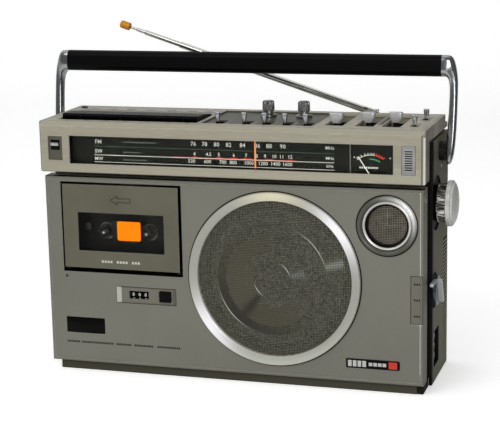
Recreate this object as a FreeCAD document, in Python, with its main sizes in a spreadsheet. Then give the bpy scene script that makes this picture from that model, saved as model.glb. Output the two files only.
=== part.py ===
"""Portable radio cassette recorder with a top handle and a telescopic antenna.

Frame: +X to the right of a person facing the dial, +Y to the back, +Z up, millimetres.
The origin is on the surface that the recorder stands on, midway along its width and depth.
Places along Y are written from the front panel's face, which lies at face_y.
"""
import FreeCAD, Part
import os
import re
import Sketcher

Vector = FreeCAD.Vector
Rotation = FreeCAD.Rotation

SIZES = {
    # Cabinet: front moulding, black frame in the groove, rear shell and plinth
    "face_y": -53.0,
    "front_step": 2.25,
    "front_top": 187.5,
    "front_depth": 17.0,
    "panel_wall": 2.5,
    "front_edge": 1.6,
    "trim_inset": 2.6,
    "trim_width": 0.7,
    "trim_depth": 0.5,
    "boss_radius": 4.0,
    "boss_inset": 9.0,
    "base_height": 9.0,
    "plinth_step": 9.0,
    "plinth_front": 5.0,
    "plinth_margin": 8.0,
    "groove_width": 12.5,
    "frame_recess": 3.3,
    "frame_wall": 4.0,
    "frame_lip": 2.5,
    "frame_flange": 3.0,
    "seam_gap": 0.2,
    "rear_width": 362.0,
    "body_depth": 110.0,
    "rear_wall": 3.0,
    "rear_edge": 2.5,
    "skirt_gap": 1.0,
    "rear_top": 224.0,
    "tray_height": 8.0,
    "side_recess": 1.5,
    "vent_width": 20.0,
    "vent_margin": 4.0,
    "vent_bottom": 8.0,
    "vent_top": 125.0,
    # Dial band and top
    "band_step": 0.75,
    "band_out": 6.0,
    "band_bottom": 192.8,
    "band_face_top": 235.8,
    "bevel_run": 4.5,
    "band_corner": 3.0,
    "lip_bottom": 227.0,
    "top_level": 239.5,
    "channel_width": 11.0,
    "channel_level": 231.5,
    "channel_margin": 2.0,
    "plate_margin": 3.75,
    "plate_front": 3.0,
    "plate_back_margin": 3.0,
    "plate_thick": 3.0,
    "ledge": 3.0,
    "window_left_margin": 29.75,
    "window_right_margin": 27.45,
    "window_bottom": 201.0,
    "window_top": 227.0,
    "glass_lap": 3.0,
    "glass_thick": 1.5,
    "scale_plate_y": 3.0,
    "scale_plate_thick": 1.5,
    "scale_plate_lap": 2.5,
    "pointer_x": 26.6,
    "pointer_width": 1.2,
    "pointer_thick": 0.8,
    "carriage_width": 10.0,
    "carriage_height": 3.0,
    "meter_margin": 21.3,
    "meter_pivot_z": 197.5,
    "needle_length": 21.0,
    "needle_angle": -33.0,
    "needle_width": 0.8,
    "meter_width": 40.0,
    "meter_height": 24.0,
    "meter_depth": 10.0,
    "indicator_margin": 16.25,
    "indicator_width": 14.2,
    "indicator_z": 215.0,
    "indicator_height": 22.4,
    "mic_margin": 13.95,
    "mic_width": 12.7,
    "mic_z": 213.9,
    "mic_height": 25.5,
    "trim_pocket": 1.5,
    # Loudspeakers
    "woofer_x": 42.0,
    "woofer_z": 100.2,
    "ring_radius": 80.3,
    "ring_inner": 71.8,
    "ring_crest": 76.5,
    "ring_out": 3.5,
    "ring_gap": 0.8,
    "ring_flange": 2.6,
    "flange_thick": 1.5,
    "mesh_thick": 1.0,
    "basket_radius": 81.0,
    "basket_depth": 34.0,
    "basket_throat": 34.0,
    "basket_rim": 10.0,
    "magnet_radius": 36.0,
    "magnet_depth": 20.0,
    "cone_radius": 68.0,
    "cone_neck": 17.0,
    "cone_depth": 26.0,
    "cone_wall": 1.2,
    "tweeter_margin": 32.75,
    "tweeter_z": 154.4,
    "tweeter_radius": 27.0,
    "tweeter_inner": 21.0,
    "tweeter_dome": 18.3,
    "tweeter_body": 22.0,
    "tweeter_depth": 22.0,
    # Cassette compartment and transport
    "deck_margin": 74.75,
    "well_width": 118.4,
    "well_bottom": 97.0,
    "well_top": 182.8,
    "well_wall": 2.0,
    "well_depth": 17.0,
    "door_gap": 2.4,
    "door_bottom": 101.7,
    "door_top": 180.9,
    "door_out": 1.6,
    "door_thick": 3.0,
    "pane_width": 84.9,
    "pane_bottom": 118.0,
    "pane_top": 154.6,
    "pane_lap": 3.0,
    "pane_flange": 1.2,
    "hinge_y": 5.0,
    "hinge_z": 99.3,
    "hinge_pin": 1.5,
    "hinge_eye": 2.4,
    "eye_width": 4.0,
    "guide_inset": 3.9,
    "guide_thick": 2.0,
    "guide_depth": 13.0,
    "guide_top": 166.0,
    "running_gap": 0.05,
    "reel_spacing": 42.5,
    "reel_z": 133.8,
    "reel_radius": 4.6,
    "reel_tip_y": 9.0,
    "reel_shaft": 2.0,
    "reel_seat": 7.0,
    "stop_plate_width": 24.3,
    "stop_plate_height": 19.6,
    "stop_plate_y": 8.0,
    "stop_plate_thick": 1.5,
    "stop_post": 8.0,
    "deck_thick": 2.0,
    "capstan_offset": 31.0,
    "capstan_z": 163.0,
    "capstan_radius": 1.2,
    "capstan_tip_y": 8.0,
    "flywheel_radius": 26.0,
    "flywheel_y": 26.0,
    "flywheel_thick": 10.0,
    "belt_groove": 1.0,
    "belt_width": 2.5,
    "belt_thick": 1.2,
    "belt_gap": 0.3,
    "motor_offset": 38.0,
    "motor_z": 158.0,
    "motor_radius": 16.0,
    "motor_y": 38.0,
    "motor_length": 28.0,
    "motor_shaft": 1.0,
    "pulley_radius": 4.5,
    "bracket_thick": 2.0,
    "bridge_bottom": 174.5,
    "bridge_top": 180.5,
    "bridge_thick": 1.6,
    "head_width": 12.0,
    "head_bottom": 170.0,
    "head_y": 7.0,
    "roller_radius": 6.0,
    "roller_travel": 6.0,
    "roller_touch": 0.1,
    "roller_width": 7.0,
    "roller_pin": 1.2,
    # Tape counter
    "counter_offset": 22.4,
    "counter_width": 58.8,
    "counter_z": 77.2,
    "counter_height": 15.6,
    "counter_pocket": 1.0,
    "digits_offset": 14.8,
    "digits_width": 19.4,
    "digits_height": 7.6,
    "wheel_radius": 7.8,
    "wheel_axle": 1.5,
    "wheel_y": 10.6,
    "ear_thick": 2.0,
    "reset_offset": 41.0,
    "reset_width": 11.4,
    "reset_height": 10.2,
    "reset_out": 1.2,
    "button_gap": 0.25,
    "name_plate_offset": 39.5,
    "name_plate_width": 39.0,
    "name_plate_z": 45.0,
    "name_plate_height": 15.6,
    "label_width": 11.55,
    "label_bottom": 66.2,
    "label_top": 110.3,
    "label_pocket": 0.6,
    # Piano keys
    "keys_margin": 10.5,
    "key_width": 19.2,
    "wide_key_width": 23.0,
    "narrow_key_width": 14.4,
    "key_gap": 0.6,
    "key_front": 18.0,
    "key_back": 60.0,
    "key_rise": 4.3,
    "key_rear_rise": 1.2,
    "key_body": 11.5,
    "key_arm_thick": 6.0,
    "key_pivot_margin": 12.0,
    "key_pivot_z": 229.0,
    "key_pin": 1.5,
    "keyhole_front": 10.0,
    "keyhole_back": 66.0,
    "keyhole_margin": 1.0,
    "key_well_floor": 213.0,
    "key_well_wall": 1.5,
    # Control panel on the top
    "panel_left": -27.0,
    "panel_right": 78.0,
    "panel_front": 11.0,
    "panel_margin": 6.0,
    "panel_pocket": 1.5,
    "lever_y": 16.5,
    "lever_top_width": 5.8,
    "lever_base_width": 3.2,
    "lever_thick": 3.0,
    "lever_height": 11.5,
    "lever_stem": 2.6,
    "slot_front": 10.5,
    "slot_width": 7.6,
    "slot_length": 28.0,
    "stem_bottom": 228.5,
    "shoe_height": 3.0,
    "shoe_gap": 0.3,
    "shoe_lap": 0.6,
    "shoe_length": 9.0,
    "lever_1_x": -13.0,
    "lever_2_x": 12.0,
    "lever_3_x": 31.0,
    "lever_4_x": 50.0,
    "lever_5_x": 69.0,
    "lever_6_margin": 11.0,
    "lever_7_margin": 7.5,
    "lever_6_y": 26.0,
    "lever_7_y": 63.0,
    "end_slot_length": 22.0,
    "knob_1_x": 20.5,
    "knob_2_x": 54.5,
    "knob_y": 66.0,
    "knob_radius": 5.7,
    "knob_flange": 7.6,
    "knob_flange_height": 2.0,
    "knob_top": 254.5,
    "knob_stem": 3.0,
    "slider_1_x": 94.5,
    "slider_2_x": 122.0,
    "slider_3_x": 146.0,
    "slider_1_y": 28.0,
    "slider_2_y": 36.0,
    "slider_3_y": 40.0,
    "slider_top_width": 12.6,
    "slider_base_width": 7.0,
    "slider_thick": 6.0,
    "slider_stem": 4.5,
    "slider_height": 11.0,
    "slider_slot_width": 16.5,
    "slider_slot_front": 16.0,
    "slider_slot_margin": 5.0,
    # Carrying handle
    "handle_y": 66.0,
    "handle_z": 211.0,
    "handle_lean": 9.0,
    "arm_gap": 5.5,
    "arm_thick": 8.5,
    "arm_depth": 10.0,
    "arm_foot": 10.0,
    "arm_corner": 12.5,
    "arm_inner_corner": 5.0,
    "arm_edge": 3.0,
    "grip_set_in": 14.0,
    "grip_rise": 76.3,
    "grip_height": 19.4,
    "grip_depth": 19.0,
    "grip_round": 6.0,
    "pivot_radius": 3.0,
    "pivot_cover": 2.0,
    "pivot_collar": 9.0,
    "pivot_inside": 3.0,
    # Antenna
    "antenna_x": 113.0,
    "antenna_margin": 7.4,
    "antenna_z": 238.0,
    "antenna_tilt": 18.0,
    "swivel_stem": 4.0,
    "swivel_flange": 4.9,
    "swivel_flange_thick": 1.5,
    "fork_inner": 2.15,
    "fork_thick": 2.0,
    "fork_half": 3.2,
    "tongue_thick": 4.2,
    "tongue_half": 3.0,
    "tongue_length": 12.0,
    "antenna_pin": 1.5,
    "tube_radius": 3.1,
    "tube_wall": 0.52,
    "tube_gap": 0.08,
    "tube_length": 190.0,
    "tube_2_out": 41.0,
    "tube_3_out": 8.0,
    "tube_4_out": 9.0,
    "tube_tail": 12.0,
    "tip_radius": 4.2,
    "tip_length": 10.0,
    # Tuning knob, band selector and sockets on the sides
    "tuning_y": 50.0,
    "tuning_z": 166.5,
    "tuning_hub": 16.2,
    "tuning_hub_length": 11.7,
    "tuning_disc": 20.8,
    "tuning_disc_thick": 4.5,
    "tuning_dome": 4.5,
    "tuning_recess": 25.0,
    "side_shaft": 3.0,
    "side_shaft_length": 28.0,
    "selector_y": 40.0,
    "selector_z": 88.0,
    "selector_hub": 8.0,
    "selector_hub_length": 2.0,
    "selector_disc": 14.0,
    "selector_disc_thick": 3.0,
    "selector_bar_out": 4.5,
    "selector_bar_width": 3.0,
    "tongue_reach": 26.0,
    "tongue_low": 9.5,
    "tongue_high": 12.5,
    "selector_recess": 16.5,
    "jack_front": 39.0,
    "jack_back": 64.0,
    "jack_bottom": 15.0,
    "jack_top": 49.0,
    "jack_plate": 2.5,
    "jack_lap": 3.0,
    "jack_hole": 1.8,
    "jack_pitch": 9.0,
    "inlet_y": 56.0,
    "inlet_z": 30.0,
    "inlet_width": 20.0,
    "inlet_height": 10.0,
    "inlet_depth": 14.0,
    "inlet_wall": 2.0,
    "inlet_pin": 1.2,
    "inlet_pin_length": 7.0,
    "inlet_pin_spacing": 8.6,
    # Batteries and electronics
    "bay_half": 92.0,
    "bay_bottom": 14.0,
    "bay_top": 84.0,
    "bay_front": 71.0,
    "bay_wall": 2.0,
    "cover_gap": 0.4,
    "cover_foot": 1.0,
    "cover_pin_rise": 3.0,
    "cover_pin": 1.0,
    "cover_pin_reach": 1.5,
    "board_left": -24.0,
    "board_margin": 10.0,
    "board_front": 36.0,
    "board_z": 205.0,
    "board_thick": 1.6,
    "board_post": 3.0,
    "transformer_side": 46.0,
    "transformer_margin": 30.0,
    "transformer_width": 50.0,
    "transformer_depth": 40.0,
    "transformer_height": 42.0,
    "capacitor_size": 24.0,
}

# Places and widths that follow from the sizes above
FOLLOWING = {
    "front_width": "rear_width - 2 * front_step",
    "plinth_width": "rear_width - 2 * plinth_step",
    "plinth_back": "body_depth - plinth_margin",
    "vent_back": "body_depth - vent_margin",
    "vent_front": "vent_back - vent_width",
    "band_width": "rear_width - 2 * band_step",
    "channel_back": "body_depth - channel_margin",
    "top_back": "channel_back - channel_width",
    "plate_width": "band_width - 2 * plate_margin",
    "plate_back": "top_back - plate_back_margin",
    "window_left": "-band_width / 2 + window_left_margin",
    "window_right": "band_width / 2 - window_right_margin",
    "meter_x": "window_right - meter_margin",
    "indicator_x": "-band_width / 2 + indicator_margin",
    "mic_x": "band_width / 2 - mic_margin",
    "tweeter_x": "front_width / 2 - tweeter_margin",
    "deck_x": "-front_width / 2 + deck_margin",
    "capstan_x": "deck_x - capstan_offset",
    "motor_x": "deck_x + motor_offset",
    "counter_x": "deck_x + counter_offset",
    "digits_x": "deck_x + digits_offset",
    "reset_x": "deck_x + reset_offset",
    "name_plate_x": "deck_x - name_plate_offset",
    "label_left": "front_width / 2 - label_width",
    "keys_left": "-plate_width / 2 + keys_margin",
    "key_pivot_y": "plate_back - key_pivot_margin",
    "panel_back": "plate_back - panel_margin",
    "lever_6_x": "plate_width / 2 - lever_6_margin",
    "lever_7_x": "plate_width / 2 - lever_7_margin",
    "slider_slot_back": "plate_back - slider_slot_margin",
    "antenna_y": "body_depth - antenna_margin",
    "board_right": "rear_width / 2 - board_margin",
    "transformer_x": "-rear_width / 2 + transformer_side",
    "transformer_y": "body_depth - transformer_margin",
}

doc = FreeCAD.newDocument("RadioCassetteRecorder")
sheet = doc.addObject("Spreadsheet::Sheet", "Sizes")
CELLS = {alias: str(number) for alias, number in SIZES.items()}
CELLS.update({alias: "=" + formula for alias, formula in FOLLOWING.items()})
for row, (alias, content) in enumerate(CELLS.items(), start=1):
    sheet.set("A%d" % row, alias)
    sheet.set("B%d" % row, content)
    sheet.setAlias("B%d" % row, alias)
doc.recompute()

PIECES = []
ALONG_Y = Rotation(Vector(1, 0, 0), -90)
ALONG_X = Rotation(Vector(0, 1, 0), 90)
UPRIGHT = Rotation()
CLOSE = 0.01


def sized(text):
    """Turn words such as front_width / 2 into an expression on the sheet's cells."""
    return re.sub(r"[a-z]\w*", lambda m: "Sizes." + m[0] if m[0] in CELLS else m[0], str(text))


def measure(text):
    """The number that an expression gives now."""
    return float(sheet.evalExpression(sized(text)))


def bind(item, **sizes):
    for name, text in sizes.items():
        item.setExpression(name, sized(text))
    return item


def locate(item, x, y, z, turn=UPRIGHT):
    """Place an item, with y counted from the front panel's face."""
    item.Placement = FreeCAD.Placement(Vector(), turn)
    item.setExpression("Placement.Base.x", sized(x))
    item.setExpression("Placement.Base.y", sized("face_y + (%s)" % y))
    item.setExpression("Placement.Base.z", sized(z))
    return item


def block(x0, x1, y0, y1, z0, z1):
    """A box between two corners."""
    item = doc.addObject("Part::Box", "Block")
    bind(item, Length="(%s) - (%s)" % (x1, x0), Width="(%s) - (%s)" % (y1, y0),
         Height="(%s) - (%s)" % (z1, z0))
    return locate(item, x0, y0, z0)


def rod(turn, x, y, z, radius, length):
    """A cylinder that starts at a point and runs along the turned Z axis."""
    item = doc.addObject("Part::Cylinder", "Rod")
    bind(item, Radius=radius, Height=length)
    return locate(item, x, y, z, turn)


def join(*items):
    item = doc.addObject("Part::MultiFuse", "Join")
    item.Shapes = list(items)
    item.Refine = True
    return item


def cut(base, *tools):
    item = doc.addObject("Part::Cut", "Cut")
    item.Base = base
    item.Tool = tools[0] if len(tools) == 1 else join(*tools)
    return item


def overlap(first, second):
    item = doc.addObject("Part::Common", "Overlap")
    item.Base = first
    item.Tool = second
    return item


def group(*items):
    """Several separate solids that are one kind of piece."""
    item = doc.addObject("Part::Compound", "Group")
    item.Links = list(items)
    return item


def edge_work(kind, base, size, chosen):
    """Work the straight edges that a test of their middle and direction picks."""
    doc.recompute()
    item = doc.addObject(kind, "Edges")
    item.Base = base
    picked = [number for number, edge in enumerate(base.Shape.Edges, start=1)
              if chosen(edge.CenterOfMass, edge.tangentAt(edge.FirstParameter))]
    amount = measure(size)
    item.Edges = [(number, amount, amount) for number in picked]
    return item


def rounded(base, radius, chosen):
    return edge_work("Part::Fillet", base, radius, chosen)


def bevelled(base, size, chosen):
    return edge_work("Part::Chamfer", base, size, chosen)


def origin_plane(body, role):
    return next(item for item in body.Origin.OriginFeatures if item.Role == role)


def outline(body, role, points):
    """A closed sketch of straight lines whose corners follow the sheet."""
    sketch = body.newObject("Sketcher::SketchObject", "Outline")
    sketch.AttachmentSupport = [(origin_plane(body, role), "")]
    sketch.MapMode = "FlatFace"
    spots = [Vector(measure(u), measure(v), 0) for u, v in points]
    count = len(spots)
    for i in range(count):
        sketch.addGeometry(Part.LineSegment(spots[i], spots[(i + 1) % count]), False)
    for i in range(count):
        sketch.addConstraint(Sketcher.Constraint("Coincident", i, 2, (i + 1) % count, 1))
    for i, (u, v) in enumerate(points):
        across = sketch.addConstraint(Sketcher.Constraint("DistanceX", -1, 1, i, 1, spots[i].x))
        sketch.setExpression("Constraints[%d]" % across, sized(u))
        up = sketch.addConstraint(Sketcher.Constraint("DistanceY", -1, 1, i, 1, spots[i].y))
        sketch.setExpression("Constraints[%d]" % up, sized(v))
    return sketch


def padded_outline(role, points, length):
    """A body padded from an outline, evenly to both sides of its plane."""
    body = doc.addObject("PartDesign::Body", "Body")
    pad = body.newObject("PartDesign::Pad", "Pad")
    pad.Profile = outline(body, role, points)
    pad.Midplane = True
    bind(pad, Length=length)
    return body


def turned(points):
    """A body turned about its own Z axis from pairs of radius and height."""
    body = doc.addObject("PartDesign::Body", "Body")
    spin = body.newObject("PartDesign::Revolution", "Revolution")
    sketch = outline(body, "XZ_Plane", points)
    spin.Profile = sketch
    spin.ReferenceAxis = (sketch, ["V_Axis"])
    spin.Angle = 360
    return body


def piece(name, item):
    item.Label = name
    PIECES.append(item)
    return item


def both_sides(x0, x1, y0, y1, z0, z1):
    """The same block on the right and on the left."""
    return [block(x0, x1, y0, y1, z0, z1), block("-(%s)" % x1, "-(%s)" % x0, y0, y1, z0, z1)]


def trim_block(inset):
    """A shallow block on the front panel's face, a step in from its edges."""
    return block("-front_width / 2 + " + inset, "front_width / 2 - (%s)" % inset, "-1",
                 "trim_depth", "base_height + " + inset, "front_top - (%s)" % inset)


def front_cabinet():
    """Grey front moulding: a shallow tray with the openings of everything behind it."""
    half = "front_width / 2"
    shell = cut(rounded(block("-front_width / 2", half, "0", "front_depth", "base_height",
                              "front_top"),
                        "front_edge", lambda c, d: abs(c.y - measure("face_y")) < CLOSE),
                block("-front_width / 2 + panel_wall", "front_width / 2 - panel_wall", "panel_wall",
                      "front_depth + 1", "base_height + panel_wall", "front_top - panel_wall"))
    line = cut(trim_block("trim_inset"), trim_block("trim_inset + trim_width"))
    solids = [shell]
    for side in ("-1", "1"):
        for height in ("base_height + boss_inset + boss_radius", "front_top - boss_inset"):
            solids.append(rod(ALONG_Y, "%s * (front_width / 2 - boss_inset)" % side, "panel_wall / 2",
                              height, "boss_radius", "front_depth - 3 - panel_wall / 2"))
    for edge in ("digits_x - digits_width / 2 - ear_thick", "digits_x + digits_width / 2"):
        ear = block(edge, "%s + ear_thick" % edge, "panel_wall / 2", "wheel_y + 2 * wheel_axle",
                    "counter_z - 2.5 * wheel_axle", "counter_z + 2.5 * wheel_axle")
        solids.append(ear)
    openings = [
        line,
        rod(ALONG_Y, "woofer_x", "-1", "woofer_z", "ring_radius + ring_gap", "panel_wall + 2"),
        rod(ALONG_Y, "tweeter_x", "-1", "tweeter_z", "tweeter_radius + ring_gap / 2",
            "panel_wall + 2"),
        block("deck_x - well_width / 2", "deck_x + well_width / 2", "-1", "panel_wall + 1",
              "well_bottom", "well_top"),
        block("counter_x - counter_width / 2", "counter_x + counter_width / 2", "-1",
              "counter_pocket", "counter_z - counter_height / 2", "counter_z + counter_height / 2"),
        block("digits_x - digits_width / 2", "digits_x + digits_width / 2", "-1", "panel_wall + 1",
              "counter_z - digits_height / 2", "counter_z + digits_height / 2"),
        block("reset_x - reset_width / 2", "reset_x + reset_width / 2", "-1", "panel_wall + 1",
              "counter_z - reset_height / 2", "counter_z + reset_height / 2"),
        block("name_plate_x - name_plate_width / 2", "name_plate_x + name_plate_width / 2", "-1",
              "label_pocket", "name_plate_z - name_plate_height / 2",
              "name_plate_z + name_plate_height / 2"),
        block("label_left", "front_width / 2 + 1", "-1", "label_pocket", "label_bottom",
              "label_top"),
        rod(ALONG_X, "digits_x - digits_width", "wheel_y", "counter_z", "wheel_axle + running_gap",
            "2 * digits_width"),
    ]
    piece("front_cabinet", cut(join(*solids), *openings))


def chassis_frame():
    """Black frame seen in the groove, with the plinth, the top tray and the key axle."""
    half = "front_width / 2 - frame_recess"
    inner = half + " - frame_wall"
    ring_front = "front_depth + seam_gap"
    ring_back = "front_depth + groove_width - seam_gap"
    ring = cut(block("-(%s)" % half, half, ring_front, ring_back, "base_height",
                     "lip_bottom - tray_height"),
               block("-(%s)" % inner, inner, "front_depth - 1", "front_depth + groove_width + 1",
                     "base_height + frame_wall", "lip_bottom"))
    tray = cut(block("-(%s)" % half, half, ring_front, "body_depth - rear_wall - frame_lip",
                     "lip_bottom - tray_height", "lip_bottom"),
               block("-plate_width / 2 + 2 * ledge", "plate_width / 2 - 2 * ledge",
                     "front_depth - 1", "top_back", "lip_bottom - tray_height - 1",
                     "lip_bottom + 1"))
    rim = cut(block("-rear_width / 2 + side_recess", "rear_width / 2 - side_recess",
                    "front_depth + groove_width - frame_flange",
                    "front_depth + groove_width - seam_gap", "base_height", "rear_top"),
              block("-(%s)" % inner, inner, "front_depth", "front_depth + groove_width + 1",
                    "base_height + frame_wall", "lip_bottom"))
    lips = both_sides(inner, half, ring_back + " - 1", "front_depth + groove_width + frame_lip",
                      "base_height + frame_wall", "lip_bottom - tray_height + 1")
    plinth = block("-plinth_width / 2", "plinth_width / 2", "plinth_front", "plinth_back", "0",
                   "base_height")
    far_key = "keys_left + 5 * key_width + wide_key_width + narrow_key_width"
    beam = block(far_key + " + key_gap", far_key + " + key_gap + ear_thick", "front_depth + 8",
                 "top_back + 1", "lip_bottom - tray_height", "lip_bottom - 2")
    ears = []
    for start in ("keys_left - key_gap - ear_thick", far_key + " + key_gap"):
        ears.append(block(start, start + " + ear_thick", "key_pivot_y - 3 * key_pin",
                          "key_pivot_y + 3 * key_pin", "lip_bottom - tray_height",
                          "key_pivot_z + 2 * key_pin"))
    stay = block("-plate_width / 2 + ledge", "keys_left - key_gap", "key_pivot_y - 3 * key_pin",
                 "key_pivot_y + 3 * key_pin", "lip_bottom - tray_height", "lip_bottom - 2")
    well_left = "keys_left - 3 * keyhole_margin"
    well_right = far_key + " + 3 * keyhole_margin"
    well = cut(block(well_left + " - key_well_wall", well_right + " + key_well_wall",
                     "keyhole_front - key_well_wall", "plate_back - ledge - seam_gap",
                     "key_well_floor - key_well_wall", "top_level - plate_thick - seam_gap"),
               block(well_left, well_right, "keyhole_front",
                     "plate_back - ledge - seam_gap - key_well_wall", "key_well_floor",
                     "top_level"))
    axle = rod(ALONG_X, "keys_left - key_gap - ear_thick", "key_pivot_y", "key_pivot_z", "key_pin",
               "%s - keys_left + 2 * key_gap + 2 * ear_thick" % far_key)
    posts = [rod(UPRIGHT, x, "top_back + board_post", "board_z + board_thick", "board_post",
                 "lip_bottom - tray_height - board_z - board_thick + 1")
             for x in ("board_left + 3 * board_post", "board_right - 3 * board_post")]
    piece("chassis_frame", join(ring, rim, tray, plinth, beam, stay, well, axle, *lips, *ears, *posts))


def rear_cabinet():
    """Olive rear shell with a skirt round the plinth and the battery bay."""
    half = "rear_width / 2"
    start = "front_depth + groove_width"
    inside = "rear_width / 2 - rear_wall"
    back = "body_depth - rear_wall"
    far_face = measure("face_y + body_depth")
    shell = cut(rounded(block("-rear_width / 2", half, start, "body_depth", "skirt_gap",
                              "rear_top"),
                        "rear_edge", lambda c, d: abs(c.y - far_face) < CLOSE),
                block("-(%s)" % inside, inside, start + " - 1", back, "base_height + panel_wall",
                      "rear_top + 1"),
                block("-(%s)" % inside, inside, start + " - 1", back, "0", "base_height"))
    bay = block("-bay_half - bay_wall", "bay_half + bay_wall", "bay_front - bay_wall", back + " + 1",
                "base_height + 1", "bay_top + bay_wall")
    mouth = block("-bay_half", "bay_half", "bay_front", "body_depth + 1", "bay_bottom", "bay_top")
    side = "rear_width / 2 - side_recess"
    far = "rear_wall + 2"
    openings = [mouth]
    openings += both_sides(side, "rear_width / 2 + 1", "vent_front", "vent_back", "vent_bottom",
                           "vent_top")
    for x in (inside + " - 1", "-rear_width / 2 - 1"):
        openings.append(rod(ALONG_X, x, "handle_y", "handle_z", "pivot_radius", far))
    for y, z, dish in (("tuning_y", "tuning_z", "tuning_recess"),
                       ("selector_y", "selector_z", "selector_recess")):
        openings.append(overlap(rod(ALONG_X, side, y, z, dish, "side_recess + 1"),
                                block(side, "rear_width / 2 + 1", start + " + 2", "body_depth",
                                      "base_height", "rear_top")))
        openings.append(rod(ALONG_X, inside + " - 1", y, z, "side_shaft + running_gap", far))
    openings.append(block(inside + " - 1", "rear_width / 2 + 1", "jack_front", "jack_back",
                          "jack_bottom", "jack_top"))
    openings.append(block("-rear_width / 2 - 1", "-(%s) + 1" % inside,
                          "inlet_y - inlet_width / 2", "inlet_y + inlet_width / 2",
                          "inlet_z - inlet_height / 2", "inlet_z + inlet_height / 2"))
    openings.append(rod(ALONG_X, "-bay_half - cover_pin_reach - cover_gap",
                        "body_depth - rear_wall / 2", "bay_bottom + cover_pin_rise",
                        "cover_pin + running_gap", "2 * (bay_half + cover_pin_reach + cover_gap)"))
    piece("rear_cabinet", cut(join(shell, bay), *openings))


def battery_cover():
    """Cover of the battery bay, which swings out and down on two stub pins."""
    side = "bay_half - cover_gap"
    plate = block("-(%s)" % side, side, "body_depth - rear_wall", "body_depth",
                  "bay_bottom + cover_foot", "bay_top - cover_gap")
    pin = rod(ALONG_X, "-bay_half - cover_pin_reach", "body_depth - rear_wall / 2",
              "bay_bottom + cover_pin_rise", "cover_pin", "2 * (bay_half + cover_pin_reach)")
    piece("battery_cover", join(plate, pin))


def dial_band():
    """Champagne top housing: the dial band in front and the rim round the top plate."""
    profile = [("-band_out", "band_bottom"), ("-band_out", "band_face_top"),
               ("-band_out + bevel_run", "top_level"), ("top_back", "top_level"),
               ("top_back", "channel_level"), ("channel_back", "channel_level"),
               ("channel_back", "lip_bottom"), ("front_depth", "lip_bottom"),
               ("front_depth", "band_bottom")]
    housing = locate(padded_outline("YZ_Plane", profile, "band_width"), "0", "0", "0")
    housing = bevelled(housing, "band_corner", lambda c, d: abs(d.z) > 0.9
                       and c.y < measure("face_y"))
    face = "-band_out + panel_wall"
    window = block("window_left", "window_right", "-band_out - 1", "0", "window_bottom",
                   "window_top")
    dial_room = block("-band_width / 2 + panel_wall", "band_width / 2 - panel_wall", face,
                      "front_depth + 1", "band_bottom + panel_wall", "top_level - plate_thick")
    seat = block("-plate_width / 2 - seam_gap", "plate_width / 2 + seam_gap",
                 "plate_front - seam_gap", "plate_back + seam_gap", "top_level - plate_thick",
                 "top_level + 1")
    below = block("-plate_width / 2 + ledge", "plate_width / 2 - ledge", "plate_front + ledge",
                  "plate_back - ledge", "lip_bottom - 1", "top_level - plate_thick + 1")
    indicator = block("indicator_x - indicator_width / 2", "indicator_x + indicator_width / 2",
                      "-band_out - 1", "-band_out + trim_pocket",
                      "indicator_z - indicator_height / 2", "indicator_z + indicator_height / 2")
    microphone = block("mic_x - mic_width / 2", "mic_x + mic_width / 2", "-band_out - 1",
                       "-band_out + trim_pocket", "mic_z - mic_height / 2", "mic_z + mic_height / 2")
    swivel = rod(UPRIGHT, "antenna_x", "antenna_y", "lip_bottom - 1", "swivel_stem + running_gap",
                 "top_level")
    piece("dial_band", cut(housing, window, dial_room, seat, below, indicator, microphone, swivel))


def stem_slot(x, y, width, length):
    """A slot in the top plate for a lever or slider."""
    return block("%s - %s / 2" % (x, width), "%s + %s / 2" % (x, width), y,
                 "%s + %s" % (y, length), "top_level - plate_thick - 1", "top_level + 1")


def top_plate():
    """Top plate with the key opening, the sunk control panel, its slots and knob holes."""
    plate = block("-plate_width / 2", "plate_width / 2", "plate_front", "plate_back",
                  "top_level - plate_thick", "top_level")
    low = "top_level - plate_thick - 1"
    far_key = "keys_left + 5 * key_width + wide_key_width + narrow_key_width"
    openings = [
        block("keys_left - keyhole_margin", far_key + " + keyhole_margin", "keyhole_front",
              "keyhole_back", low, "top_level + 1"),
        block("panel_left", "panel_right", "panel_front - 1.5", "panel_back",
              "top_level - panel_pocket", "top_level + 1"),
    ]
    for number in range(1, 6):
        openings.append(stem_slot("lever_%d_x" % number, "slot_front", "slot_width",
                                  "slot_length"))
    for number in (6, 7):
        openings.append(stem_slot("lever_%d_x" % number, "lever_%d_y - 5" % number, "slot_width",
                                  "end_slot_length"))
    for number in (1, 2, 3):
        openings.append(stem_slot("slider_%d_x" % number, "slider_slot_front",
                                  "slider_slot_width", "(slider_slot_back - slider_slot_front)"))
    for number in (1, 2):
        openings.append(rod(UPRIGHT, "knob_%d_x" % number, "knob_y", low,
                            "knob_stem + running_gap", "plate_thick + 2"))
    piece("top_plate", cut(plate, *openings))


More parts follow.
